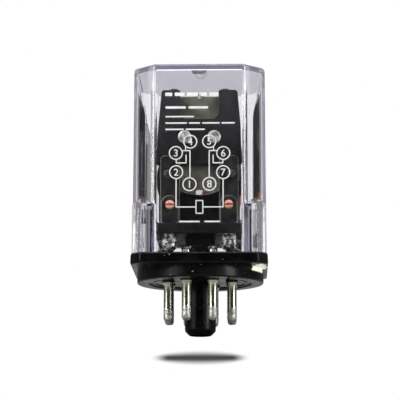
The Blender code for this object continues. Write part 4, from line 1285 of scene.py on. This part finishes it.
# ================================================================ armature and contact carrier
def armature():
    """A plate with a bowed lower edge, cut corners and a notch at the top."""
    sag = ARM_CORNER_Z - ARM_Z0
    edge_r = (ARM_HALF**2 + sag**2) / (2 * sag)
    spread = math.degrees(math.asin(ARM_HALF / edge_r))
    top = [(ARM_HALF, ARM_Z1 - 0.6), (ARM_HALF - 0.6, ARM_Z1), (0.7, ARM_Z1), (0.5, ARM_Z1 - 0.55)]
    bow = arc(0, ARM_Z0 + edge_r, edge_r, 270 - spread, 270 + spread, 36)
    plate = solid(prism, "Y", [*bow, *top, *flip(reversed(top), -1)], ARM_Y0, ARM_Y1)
    rounded(plate, 0.13)
    holes = bmesh.new()
    for side in (-1, 1):
        rod(holes, "Y", (side * RIVET_X, RIVET_Z), -9, -5, RIVET_HOLE_R, 28)
    steps = [cut("armature_holes", holes)]
    piece("armature_plate", plate, ZINC, ARM, "armature", steps, angle=28)


def carrier():
    """A plate that narrows upwards, with a deep notch at the top."""
    outline = [  # (x, z) of the right half
        (CARRIER_HALF_LOW - 0.5, CARRIER_Z0),
        (CARRIER_HALF_LOW, CARRIER_Z0 + 0.5),
        (CARRIER_HALF_LOW - 0.1, CARRIER_Z0 + 3.0),
        (CARRIER_HALF_TOP, CARRIER_Z1 - 0.5),
        (CARRIER_HALF_TOP - 0.5, CARRIER_Z1),
        (NOTCH_HALF + 0.2, CARRIER_Z1),
        (NOTCH_HALF, CARRIER_Z1 - 0.3),
        (NOTCH_HALF, NOTCH_Z + 1.2),
        (NOTCH_HALF - 1.2, NOTCH_Z),
    ]
    outline += flip(reversed(outline), -1)
    plate = solid(prism, "Y", outline, CARRIER_Y0, CARRIER_Y1)
    rounded(plate, 0.2, 4, 20)
    studs, holes = bmesh.new(), bmesh.new()
    for side in (-1, 1):
        for x, z in STUDS:
            rod(studs, "Y", (side * x, z), -9.2, -7.4, 0.6, 24)
        rod(holes, "Y", (side * RIVET_X, RIVET_Z), -11, -7, RIVET_HOLE_R, 28)
        for x, z in ((8.0, 43.9), (8.8, 31.6)):  # shallow round marks on the front
            rod(holes, "Y", (side * x, z), CARRIER_Y0 - 1, CARRIER_Y0 + 0.07, 0.9, 32)
    steps = [join("carrier_studs", studs), cut("carrier_holes", holes)]
    piece("carrier_moulding", plate, NYLON, ARM, "contact_carrier", steps, angle=28)


def carrier_rivet(side, word):
    profile = [
        (0, -10.5), (0.5, -10.5), (0.95, -10.49), (1.35, -10.46), (RIVET_R - 0.15, -10.42),
        (RIVET_R - 0.05, -10.33), (RIVET_R, -10.2), (RIVET_R, -10.05), (0.74, -10.03),
        (0.74, -6.57), (1.36, -6.55), (1.4, -6.45), (1.25, -6.25), (0.8, -6.12), (0, -6.1),
    ]  # fmt: skip
    bm = solid(turned, "Y", (side * RIVET_X, RIVET_Z), profile, 40)
    roughen(bm, 0.035, 1.2, 2.0 + side, ahead_of(-10.1))
    piece(
        f"carrier_rivet_{word}_head", bm, SILVER, ARM, f"carrier_rivet_{word}",
        angle=45, even_shading=False,
    )  # fmt: skip


def moving_leaf(side, word):
    outline = [  # (x, z), with the ear for the braid at the top
        (LEAF_X0, LEAF_Z0 + 1.2), (LEAF_X0 + 0.3, LEAF_Z0 + 0.4), (LEAF_X0 + 0.9, LEAF_Z0),
        (LEAF_X1 - 0.9, LEAF_Z0), (LEAF_X1 - 0.3, LEAF_Z0 + 0.4), (LEAF_X1, LEAF_Z0 + 1.2),
        (LEAF_X1, LEAF_Z1 - 8.0), (LEAF_X1 - 0.6, LEAF_Z1 - 1.4), (LEAF_X1 - 1.1, LEAF_Z1),
        (7.5, LEAF_Z1), (7.5, 48.95), (7.35, 49.22), (7.1, 49.33), (5.9, 49.33), (5.65, 49.22),
        (5.5, 48.95), (5.5, LEAF_Z1), (LEAF_X0, LEAF_Z1 - 0.6),
    ]  # fmt: skip
    holes = [(side * CONTACT_X, CONTACT_Z, CONTACT_HOLE_R, 24)]
    holes += [(side * x, z, 0.7, 24) for x, z in STUDS]
    bm = solid(prism, "Y", flip(outline, side), LEAF_Y0, LEAF_Y1, holes)
    rounded(bm, 0.05, 2, 40)
    node = f"moving_spring_{word}"
    piece(f"moving_leaf_{word}", bm, BRONZE, ARM, node, angle=30)


def moving_contact(side, word):
    profile = [
        (0, -9.2), (0.5, -9.18), (0.95, -9.12), (1.2, -9.02), (1.3, -8.88), (1.3, -8.12),
        (0.6, -8.12), (0.6, -7.68), (1.3, -7.68), (1.3, -7.3), (1.2, -7.16), (0.95, -7.06),
        (0.5, -7.01), (0, -7.0),
    ]  # fmt: skip
    bm = solid(turned, "Y", (side * CONTACT_X, CONTACT_Z), profile, 36)
    node = f"moving_contact_{word}"
    piece(f"{node}_tip", bm, SILVER, ARM, node, angle=45)


def armature_dab():
    """A dab of paint on the armature's lower edge."""
    outline = [
        (-0.95, 21.85), (-0.9, 22.85), (-0.2, 23.0), (0.5, 22.9), (0.8, 22.75), (1.6, 22.6),
        (2.5, 22.75), (2.7, 22.45), (2.2, 22.2), (1.2, 22.0), (0.7, 21.8), (-0.3, 21.72),
    ]  # fmt: skip
    bm = solid(prism, "Y", outline, ARM_Y0 - 0.05, ARM_Y0 + 0.02)
    rounded(bm, 0.02, 2, 40)
    piece("armature_paint_dab", bm, PAINT, ARM)


armature()
carrier()
for side, word in SIDES:
    carrier_rivet(side, word)
    moving_leaf(side, word)
    moving_contact(side, word)
armature_dab()


# ================================================================ fixed contacts
def nc_strip(side, word):
    outline = [
        (NC_X0, YOKE_Z0), (NC_X1, YOKE_Z0), (NC_X1, NC_Z1 - 0.9), (NC_X1 - 0.3, NC_Z1 - 0.3),
        (NC_X1 - 0.9, NC_Z1), (NC_X0 + 0.9, NC_Z1), (NC_X0 + 0.3, NC_Z1 - 0.3),
        (NC_X0, NC_Z1 - 0.9),
    ]  # fmt: skip
    holes = [(side * CONTACT_X, CONTACT_Z, CONTACT_HOLE_R, 28)]
    holes.append((side * LUG_X, LUG_SCREW_Z, LUG_HOLE_R, 28))
    bm = solid(prism, "Y", flip(outline, side), NC_Y0, NC_Y1, holes)
    rounded(bm, 0.1, angle=40)
    node = f"nc_terminal_{word}"
    piece(f"nc_strip_{word}", bm, BLACKENED, ROOT, node, angle=30)


def nc_contact(side, word):
    profile = [
        (0, -11.75), (0.5, -11.74), (0.85, -11.67), (1.03, -11.55), (1.1, -11.4), (1.1, -11.28),
        (0.6, -11.28), (0.6, -10.42), (1.5, -10.42), (1.5, -9.62), (1.4, -9.42), (1.1, -9.29),
        (0.6, -9.25), (0, -9.25),
    ]  # fmt: skip
    bm = solid(turned, "Y", (side * CONTACT_X, CONTACT_Z), profile, 36)
    roughen(bm, 0.03, 1.4, 5.0 + side, ahead_of(-11.35))
    node = f"nc_contact_{word}"
    piece(f"{node}_tip", bm, SILVER_DULL, ROOT, node, angle=45)


def nc_tag(side, word):
    right, left = LUG_X + LUG_HALF, LUG_X - LUG_HALF
    outline = [
        (left, LUG_END + 0.5), (left + 0.5, LUG_END), (right - 0.5, LUG_END),
        (right, LUG_END + 0.5), (right, 13.9), (LUG_X + LUG_R, 14.2),
        *arc(LUG_X, LUG_TOP - LUG_R, LUG_R, 0, 180, 32), (LUG_X - LUG_R, 14.2), (left, 13.9),
    ]  # fmt: skip
    hole = (side * LUG_X, LUG_SCREW_Z, LUG_HOLE_R, 28)
    bm = solid(prism, "Y", flip(outline, side), LUG_Y0, LUG_Y1, [hole])
    rounded(bm, 0.11)
    piece(f"nc_tag_{word}", bm, LUG, ROOT, f"nc_lug_{word}", angle=30)


def lug_screw(side, word):
    x = side * LUG_X
    profile = [
        (0, -12.97), (0.45, -12.96), (0.8, -12.9), (1.02, -12.78), (1.13, -12.6), (1.15, -12.4),
        (1.15, -12.12), (1.08, -12.07), (0.56, -12.05), (0.56, -8.3), (0.3, -8.0), (0, -8.0),
    ]  # fmt: skip
    bm = solid(turned, "Y", (x, LUG_SCREW_Z), profile, 40)
    roughen(bm, 0.03, 1.2, 9.0 + side, ahead_of(-12.2))
    bar = slot_cutter(x, LUG_SCREW_Z, 1.5, 0.2, (-13.5, -12.62), degrees=-2 - 4 * side)
    node = f"lug_screw_{word}"
    steps = [cut(f"lug_slot_{word}", bar)]
    piece(f"{node}_head", bm, COPPER, ROOT, node, steps, angle=35)


def no_strip(side, word):
    outline = [
        (7.3, 8.8), (7.7, 8.4), (9.1, 8.4), (9.5, 8.8), (9.5, 14.0), (NO_X1, 14.2),
        (NO_X1, NO_Z1 - 0.8), (NO_X1 - 0.8, NO_Z1), (NO_X0 + 0.8, NO_Z1), (NO_X0, NO_Z1 - 0.8),
        (NO_X0, 14.2), (7.3, 14.0),
    ]  # fmt: skip
    hole = (side * CONTACT_X, CONTACT_Z, CONTACT_HOLE_R, 28)
    bm = solid(prism, "Y", flip(outline, side), NO_Y0, NO_Y1, [hole])
    rounded(bm, 0.1)
    piece(f"no_strip_{word}", bm, BRASS, ROOT, f"no_terminal_{word}", angle=30)


def no_contact(side, word):
    profile = [
        (0, -5.84), (0.6, -5.83), (1.1, -5.78), (1.4, -5.68), (1.5, -5.55), (1.5, -5.22),
        (0.6, -5.22), (0.6, -4.47), (0, -4.47),
    ]  # fmt: skip
    bm = solid(turned, "Y", (side * CONTACT_X, CONTACT_Z), profile, 36)
    node = f"no_contact_{word}"
    piece(f"{node}_tip", bm, SILVER, ROOT, node, angle=45)


def common_tag(side, word):
    front, back = COMMON_Y0, COMMON_Y1
    outline = [  # (y, z)
        (front + 0.3, 8.9), (front + 0.6, 8.6), (back - 0.6, 8.6), (back - 0.3, 8.9),
        (back, 14.2), (back, 16.2), (back - 0.8, 17.0), (front + 0.8, 17.0), (front, 16.2),
        (front, 14.2),
    ]  # fmt: skip
    bm = solid(prism, "X", outline, *sorted((side * COMMON_X0, side * COMMON_X1)))
    rounded(bm, 0.09)
    piece(f"common_tag_{word}", bm, LUG, ROOT, f"common_lug_{word}", angle=30)


for side, word in SIDES:
    for build in (nc_strip, nc_contact, nc_tag, lug_screw, no_strip, no_contact, common_tag):
        build(side, word)


# ================================================================ leads, solder and braids
GREY = (SLEEVE_GREY, "white_wire_sleeve")
RED = (SLEEVE_RED, "red_wire_sleeve")
LEADS = {  # name: radius, (look, slot), (x, y, z) points on the right
    "nc_lead": (0.45, GREY, [
        (7.4, -10.75, 8.0), (9.4, -9.7, 7.3), (11.0, -6.0, 6.95), (11.1, -1.0, 6.9),
        (11.0, 3.5, 6.95), (9.3, 7.4, 7.4), (6.2, 8.75, 8.4), (3.7, 8.2, 8.6),
    ]),
    "no_lead": (0.4, GREY, [
        (8.4, -3.9, 9.7), (8.4, -2.0, 9.75), (8.2, 1.0, 9.3), (8.06, 3.4, 8.55),
    ]),
    "common_lead": (0.45, GREY, [
        (10.2, 1.0, 9.7), (10.25, -2.0, 9.9), (10.2, -6.5, 9.9), (8.6, -8.9, 9.6),
        (5.8, -9.2, 9.1), (3.5, -8.2, 8.6),
    ]),
    "coil_lead": (0.33, RED, [
        (6.6, -2.7, 18.8), (6.6, -2.7, 14.0), (6.6, -2.7, 10.6), (6.9, -2.9, 9.1),
        (7.9, -3.3, 8.5),
    ]),
}  # fmt: skip
for lead, (radius, (look, slot), points) in LEADS.items():
    for side, word in SIDES:
        line = even(eased(flip(points, side)), pitch=0.35)
        bm = solid(tube, line, radius, 14, wobble=0.03)
        node = f"{lead}_{word}"
        piece(f"{node}_sleeve", bm, look, ROOT, node, angle=60, even_shading=False)


def solder(name, centre, size, seed, lump=0.25):
    bm = solid(blob, centre, size, seed, lump)
    piece(f"solder_{name}", bm, SOLDER, ROOT, angle=80, even_shading=False)


TAG_SOLDER = (  # name, centre on the right, half sizes, seed
    ("nc", (7.4, -11.75, 8.5), (2.0, 0.85, 1.7), 3.3),
    ("no", (8.4, -4.6, 9.3), (1.15, 0.85, 0.95), 5.1),
    ("common", (10.2, 1.9, 9.4), (0.75, 1.1, 0.95), 6.7),
)
for number, (x, y) in enumerate(PIN_SPOTS, 1):
    solder(f"pin_{number}", (x, y, 8.2), (1.35, 1.35, 0.85), number * 1.9)
for side, word in SIDES:
    for tag, (x, y, z), size, seed in TAG_SOLDER:
        solder(f"{tag}_{word}", (side * x, y, z), size, seed + side, lump=0.4)

PIGTAIL = [  # (x, y, z) on the right, from the leaf's ear down to the common tag
    (6.4, -7.6, 48.65), (7.0, -5.6, 49.0), (8.4, -2.6, 48.6), (9.5, 0.6, 46.0),
    (10.1, 2.4, 40.0), (10.2, 3.0, 33.0), (10.2, 3.0, 25.0), (9.85, 3.0, 20.0),
    (9.4, 3.0, 17.2), (9.4, 3.0, 14.6),
]  # fmt: skip


def pigtail(side, word):
    """Six strands twisted round one line."""
    strands, step, lay = 6, 0.2, 3.0  # lay: length of one full twist
    lane_r, strand_r = 0.25, 0.145
    spine = even(eased(flip(PIGTAIL, side), 10), step)
    lanes = normals(spine)
    bm = bmesh.new()
    for strand in range(strands):
        line = []
        for i, (point, (out, across)) in enumerate(zip(spine, lanes)):
            angle = math.tau * (strand / strands + i * step / lay)
            line.append(point + (out * math.cos(angle) + across * math.sin(angle)) * lane_r)
        tube(bm, line, strand_r, 6)
    braid = piece(
        f"pigtail_{word}_braid", bm, COPPER_WIRE, None, f"pigtail_{word}",
        angle=80, even_shading=False,
    )  # fmt: skip
    put(side * 10.1, 2.4, 40.0)
    put(side * 7.0, -6.4, 48.9)
    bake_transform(braid)


def return_spring():
    turns, radius, wire, start, end = 9, 1.0, 0.2, -5.4, 8.2
    count = 26 * turns
    helix = []
    for i in range(count + 1):
        angle = math.tau * turns * i / count
        y = start + (end - start) * i / count
        helix.append((radius * math.sin(angle), y, SPRING_Z + radius * math.cos(angle)))
    front_hook = eased([
        (0, -8.45, 46.3), (0, -8.45, 46.9), (0, -8.15, 47.3), (0, -7.3, 47.4), (0, -6.4, 47.75),
        (0, -5.9, 48.5),
    ])  # fmt: skip
    rear_hook = eased([
        (0, 8.9, 48.4), (0, 9.6, SPRING_Z), (0, 11.6, SPRING_Z), (0, 12.35, 47.6),
        (0, 12.45, 46.7),
    ])  # fmt: skip
    bm = solid(tube, front_hook + helix + rear_hook, wire, 10)
    coil = piece(
        "return_spring_coil", bm, SPRING_STEEL, None, "return_spring",
        angle=80, even_shading=False,
    )  # fmt: skip
    put(0, end, SPRING_Z)
    put(0, -7.3, 47.4)
    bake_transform(coil)


for side, word in SIDES:
    pigtail(side, word)
return_spring()


# ================================================================ cover
def cover_half(z, inset=0.0):
    """Half the cover's width at a height, less an inset."""
    share = (z - COVER_Z0) / (COVER_Z1 - COVER_Z0)
    return COVER_HALF_LOW + (COVER_HALF_TOP - COVER_HALF_LOW) * share - inset


def cover_tube(low, high, inset, corner):
    return solid(drafted, cover_half(low, inset), corner, low, high, cover_half(high, inset))


def cover_feet():
    """The four fuller corners at the foot, solid, each under a roof of two slopes."""
    made = bmesh.new()
    half, foot, corner = cover_half(SHOULDER_Z), cover_half(COVER_Z0), COVER_FOOT_CORNER
    far = half - 7.0
    mid = half - corner / 2
    run = 3.2  # how far in the roof's ridge goes
    ridge, rise = half - run, SHOULDER_Z + SHOULDER_SLOPE * run
    spots = [
        (foot, foot - corner, COVER_Z0), (foot - corner, foot, COVER_Z0), (far, foot, COVER_Z0),
        (foot, far, COVER_Z0), (far, far, COVER_Z0), (half, half - corner, SHOULDER_Z),
        (half - corner, half, SHOULDER_Z), (half, far, SHOULDER_Z), (far, half, SHOULDER_Z),
        (mid, mid, SHOULDER_Z + SHOULDER_SLOPE * corner / 2),
        (ridge, ridge, rise), (ridge, far, rise), (far, ridge, rise), (far, far, rise),
    ]  # fmt: skip
    for side_x in (-1, 1):
        for side_y in (-1, 1):
            verts = [made.verts.new(put(side_x * x, side_y * y, z)) for x, y, z in spots]
            hull = bmesh.ops.convex_hull(made, input=verts)
            unused = hull["geom_interior"] + hull["geom_unused"]
            spare = {g for g in unused if isinstance(g, bmesh.types.BMVert)}
            bmesh.ops.delete(made, geom=list(spare), context="VERTS")
    bmesh.ops.dissolve_limit(
        made, angle_limit=math.radians(1), verts=made.verts, edges=made.edges
    )
    soften_all_but(made, COVER_Z0, 0.12, 3)
    return made


def cover():
    shell = cover_tube(COVER_Z0, COVER_Z1, 0.0, COVER_CORNER)
    soften_all_but(shell, COVER_Z0, 0.9, 6)
    inner_corner = COVER_CORNER + WALL * math.sqrt(2) - 2 * WALL  # keeps the wall even
    hollow = cover_tube(COVER_Z0 - 1, COVER_Z1 - WALL, WALL, inner_corner)
    soften_all_but(hollow, COVER_Z0 - 1, 0.45, 5)
    steps = [join("cover_foot_corners", cover_feet()), cut("cover_hollow", hollow)]
    piece("cover_shell", shell, CLEAR, LID, "cover", steps, angle=22)


def gate_mark():
    """What the gate left on the inside of the roof, near the front."""
    outline = [
        (-1.95, -15.0), (-1.75, -11.2), (-1.2, -10.3), (-0.4, -10.9), (0.3, -10.2),
        (1.1, -10.6), (1.6, -11.4), (1.9, -15.0),
    ]  # fmt: skip
    roof = COVER_Z1 - WALL
    bm = solid(prism, "Z", outline, roof - 0.16, roof - 0.02)
    rounded(bm, 0.05, 2)
    piece("cover_gate_mark", bm, FROSTED, LID)


cover()
gate_mark()

# ================================================================ print on the cover's front
INK_GAP, INK_T, LINE_W = 0.008, 0.03, 0.26
PRINT_X = 0.17  # the middle of the circuit drawing
DIGIT_SPOTS = {  # digit: (x, z)
    3: (-5.77, 30.95), 6: (6.1, 30.9), 2: (-5.68, 26.06), 7: (6.07, 26.01),
    1: (-2.34, 22.98), 8: (2.62, 23.06), 4: (-2.17, 33.82), 5: (2.58, 33.9),
}  # fmt: skip
CIRCUIT = [  # (x, z) corners of each line in the right half, x from the drawing's middle
    [(5.86, 24.35), (5.86, 17.22), (0.98, 17.22)],
    [(2.4, 24.63), (2.4, 31.52), (4.5, 31.52)],
    [(3.5, 31.52), (3.5, 32.75)],
    [(5.84, 29.3), (5.84, 28.4), (3.38, 28.4), (3.38, 30.4)],
]
COIL_BOX = [(-0.72, 15.63), (0.98, 15.63), (0.98, 18.85), (-0.72, 18.85), (-0.72, 15.63)]
BARS = [  # z, height, (x0, x1) of each bar
    (46.0, 0.9, ((-8.5, -6.7), (-6.1, -3.6), (-3.0, -0.2), (0.4, 2.0), (2.6, 4.9))),
    (42.6, 0.6, ((-8.4, -3.3), (-2.6, 2.3))),
    (40.25, 0.36, ((-8.4, -1.3),)),
    (38.6, 0.36, ((-8.4, -3.0), (-2.5, 0.3), (0.8, 5.2), (5.7, 9.0))),
    (36.98, 0.36, ((-8.4, -3.8), (-3.3, 1.5))),
    (13.55, 0.36, ((-4.9, 0.2), (1.4, 5.2))),
]


def on_face(x, z, proud=INK_GAP):
    """A point just ahead of the cover's drafted front."""
    return put(x, -cover_half(z) - proud, z)


def ink(bm, outline):
    """A flat patch of ink from (x, z) points."""
    verts = [bm.verts.new(on_face(x, z)) for x, z in outline]
    pairs = zip(outline, outline[1:] + outline[:1])
    if sum(a[0] * b[1] - b[0] * a[1] for a, b in pairs) < 0:
        verts.reverse()
    push(bm, [bm.faces.new(verts)], Vector((0, -INK_T, 0)) * MM)


def stroke(bm, start, end):
    """A straight line of ink with round ends."""
    angle = math.degrees(math.atan2(end[1] - start[1], end[0] - start[0]))
    far_end = arc(*end, LINE_W / 2, angle - 90, angle + 90, 6)
    ink(bm, far_end + arc(*start, LINE_W / 2, angle + 90, angle + 270, 6))


def ink_ring(bm, x, z):
    radius, sides = 1.63, 48
    inner, outer = (arc(x, z, radius + d, 0, 360, sides)[:-1] for d in (-LINE_W / 2, LINE_W / 2))
    for k in range(sides):
        m = (k + 1) % sides
        quad = [outer[k], outer[m], inner[m], inner[k]]
        back = [bm.verts.new(on_face(*spot)) for spot in quad]
        front = [bm.verts.new(on_face(*spot, INK_GAP + INK_T)) for spot in quad]
        bm.faces.new(back)
        bm.faces.new(front[::-1])
        for i, j in ((0, 1), (2, 3)):
            bm.faces.new((back[i], back[j], front[j], front[i]))


def ink_digit(bm, digit, x, z):
    """A digit centred on (x, z)."""
    text = bpy.data.curves.new(f"digit_{digit}", "FONT")
    text.body = str(digit)
    text.size = 2.55
    text.align_x, text.align_y = "CENTER", "CENTER"
    text.offset = 0.006
    text.extrude = INK_T / 2
    holder = bpy.data.objects.new(f"digit_{digit}", text)
    tools.objects.link(holder)
    flat = evaluated_mesh(holder)
    first = len(bm.verts)
    bm.from_mesh(flat)
    bm.verts.ensure_lookup_table()
    verts = bm.verts[first:]
    across, upward = [v.co.x for v in verts], [v.co.y for v in verts]
    mid_x = (min(across) + max(across)) / 2
    mid_y = (min(upward) + max(upward)) / 2
    for v in verts:
        proud = INK_GAP + INK_T / 2 + v.co.z
        v.co = on_face(v.co.x - mid_x + x, v.co.y - mid_y + z, proud)
    bpy.data.objects.remove(holder, do_unlink=True)
    bpy.data.meshes.remove(flat)


def ink_bar(bm, x0, x1, z, tall):
    """A plain bar with rounded corners, where the object carries wording."""
    r = tall * 0.28
    left, right, low, high = x0 + r, x1 - r, z - tall / 2 + r, z + tall / 2 - r
    corners = arc(right, high, r, 90, 0, 4) + arc(right, low, r, 0, -90, 4)
    ink(bm, corners + arc(left, low, r, 270, 180, 4) + arc(left, high, r, 180, 90, 4))


def printed(name, bm):
    piece(name, bm, INK, LID, angle=40, even_shading=False)


rings, circuit, digits, bars = (bmesh.new() for _ in range(4))
for spot in DIGIT_SPOTS.values():
    ink_ring(rings, *spot)
printed("print_rings", rings)

paths = [[(PRINT_X + side * x, z) for x, z in path] for side in (-1, 1) for path in CIRCUIT]
for path in paths + [COIL_BOX]:
    for start, end in zip(path, path[1:]):
        stroke(circuit, start, end)
printed("print_circuit", circuit)

for digit, spot in DIGIT_SPOTS.items():
    ink_digit(digits, digit, *spot)
printed("print_digits", digits)

for z, tall, spans in BARS:
    for x0, x1 in spans:
        ink_bar(bars, x0, x1, z, tall)
printed("print_bars", bars)


# ================================================================ stage
def staged(name, bm, look):
    obj = new_object(name, bm, scene.collection)
    obj.data.materials.append(look.material)
    return obj


def floor():
    """Pale to the camera, grey to other rays, clear from below and far out."""
    look = Look("floor_pale")
    grainy = look.noise(look.coords(), scale=0.02, detail=3.0)
    pale = look.mix(grainy, (0.86, 0.86, 0.86), (0.9, 0.9, 0.9))
    seen = look.add("LightPath", out="Is Camera Ray")
    look.shade({"Base Color": look.mix(seen, (0.3, 0.3, 0.295), pale), "Roughness": 0.7})
    below = look.parts(look.add("NewGeometry", out="Incoming")).out("Z") < 0.0
    away = look.vector("LENGTH", look.object_at(), out="Value")  # metres
    open_part = look.math("MAXIMUM", below, seen * away.smooth(over=(0.09, 0.24)))
    look.show(open_part, look.shader, look.add("BsdfTransparent"))

    bm = bmesh.new()
    bmesh.ops.create_grid(bm, x_segments=8, y_segments=8, size=1.6)
    for v in bm.verts:
        v.co.z = -0.00002
    staged("floor", bm, look)


def shadow_card():
    """An upright card under the object, seen only by the camera: a soft dark lens shape."""
    look = Look("shade_under")
    parts = look.parts(look.add("TexCoord", out="Generated"))
    across, upward = ((parts.out(k) - 0.5) * 2.0 for k in "XZ")  # -1 to 1 over the card
    thin = 1.0 - across * across * 0.72
    dark = (abs(upward) / thin).fade(over=(0.1, 1.0))
    dark = dark * abs(across).smooth(over=(0.62, 1.0), to=(0.95, 0.0))
    black = look.add("Emission", {"Color": (0.02, 0.02, 0.02)})
    look.show(dark, look.add("BsdfTransparent"), black)

    half_w, half_h, mid_z = 12.9, 2.2, -5.55  # mid_z is measured from the spigot's tip
    bm = bmesh.new()
    corners = ((-1, -1), (1, -1), (1, 1), (-1, 1))
    spots = [(u * half_w * MM, 0.0, (mid_z + v * half_h) * MM) for u, v in corners]
    bm.faces.new([bm.verts.new(spot) for spot in spots])
    card = staged("shadow_card", bm, look)
    for ray in ("diffuse", "glossy", "transmission", "volume_scatter", "shadow"):
        setattr(card, f"visible_{ray}", False)


def soft_light(name, location, size, size_y, power):
    """An area light aimed at the middle of the object; metres and watts."""
    target = Vector((0, 0, 0.036))
    data = bpy.data.lights.new(name, "AREA")
    data.energy = power
    data.shape = "RECTANGLE"
    data.size = size
    data.size_y = size_y
    obj = bpy.data.objects.new(name, data)
    obj.location = location
    obj.rotation_euler = (target - Vector(location)).to_track_quat("-Z", "Y").to_euler()
    scene.collection.objects.link(obj)
    obj.visible_camera = False


floor()
shadow_card()
soft_light("key_left", location=(-0.42, -0.34, 0.34), size=0.22, size_y=0.5, power=2.2)
soft_light("key_right", location=(0.46, -0.3, 0.26), size=0.18, size_y=0.5, power=1.7)
soft_light("top_soft", location=(0.0, -0.05, 0.6), size=0.5, size_y=0.5, power=2.2)

# Grey round the horizon: (0 at the back to 1 at the front, level).
# through the clear cover: white backdrop, darker sides, brighter towards the front
CLEAR_BANDS = [(0.0, 1.0), (0.03, 1.0), (0.12, 0.6), (0.38, 0.3), (0.6, 0.3), (0.8, 0.7), (1.0, 0.6)]
# in metal and plastic: a tall soft box on each side in front, the rest dark
GLOSS_BANDS = [
    (0.0, 0.12), (0.35, 0.15), (0.6, 0.22), (0.7, 0.85), (0.84, 0.85), (0.92, 0.06), (1.0, 0.03),
]  # fmt: skip


def studio_world():
    """Plain white to the camera, with other levels for each kind of ray."""
    world = bpy.data.worlds.new("studio")
    scene.world = world
    world.use_nodes = True
    world.node_tree.nodes.clear()
    graph = Graph(world.node_tree)
    way = graph.vector("NORMALIZE", graph.add("TexCoord", out="Generated"))
    parts = graph.parts(way)
    rise = parts.out("Z")
    flat = graph.math("SQRT", 1.0001 - rise * rise)
    around = (parts.out("Y") * -1.0 / flat).ramp(over=(-1.0, 1.0))

    def greys(stops):
        return graph.bands(around, [(spot, (grey,) * 3) for spot, grey in stops])

    # dim where the camera stands, so that the cover's front stays clear
    to_camera = Vector((0.02, -0.985, 0.17)).normalized()
    look_back = graph.vector("DOT_PRODUCT", way, to_camera, out="Value")
    clear = greys(CLEAR_BANDS) * look_back.smooth(over=(0.93, 0.975), to=(1.0, 0.04))
    clear = (clear + rise.smooth(over=(0.3, 0.8), to=(0.0, 0.4))).clamped()
    glossy = greys(GLOSS_BANDS) * rise.smooth(over=(-0.25, 0.0), to=(0.3, 1.0))
    glossy = glossy + rise.smooth(over=(0.35, 0.8), to=(0.0, 0.6))

    def choose(factor, first, second):
        """first where the factor is 0, second where it is 1."""
        return (1.0 - factor) * first + factor * second

    path = graph.add("LightPath")
    strength = choose(path.out("Is Glossy Ray"), clear, glossy)
    strength = choose(path.out("Is Diffuse Ray"), strength, clear * 0.8)
    strength = choose(path.out("Is Transmission Ray"), strength, clear)
    strength = choose(path.out("Is Camera Ray"), strength, 1.0)
    back = graph.add("Background", {"Color": (1, 1, 1), "Strength": strength})
    graph.add("OutputWorld", [back])


studio_world()

scene.view_settings.view_transform = "Standard"
scene.cycles.max_bounces = 28
scene.cycles.transmission_bounces = 20
scene.cycles.glossy_bounces = 20
scene.cycles.transparent_max_bounces = 16
scene.cycles.sample_clamp_indirect = 6.0
scene.cycles.caustics_reflective = False
scene.cycles.caustics_refractive = False

# camera: in front and below the object, looking slightly up, a little to the right
CAMERA_AWAY, CAMERA_Z = 0.480, -0.0482  # metres
CAMERA_YAW, CAMERA_PITCH = math.radians(1.3), 9.855  # the pitch is in degrees
camera = bpy.data.objects.new("camera", bpy.data.cameras.new("camera"))
scene.collection.objects.link(camera)
camera.location = (
    CAMERA_AWAY * math.sin(CAMERA_YAW),
    -CAMERA_AWAY * math.cos(CAMERA_YAW),
    CAMERA_Z,
)
camera.rotation_euler = (math.radians(90 + CAMERA_PITCH), 0, CAMERA_YAW)
camera.data.lens = 170
camera.data.sensor_width = 36
camera.data.shift_x = -0.001
camera.data.clip_start, camera.data.clip_end = 0.01, 10
scene.camera = camera
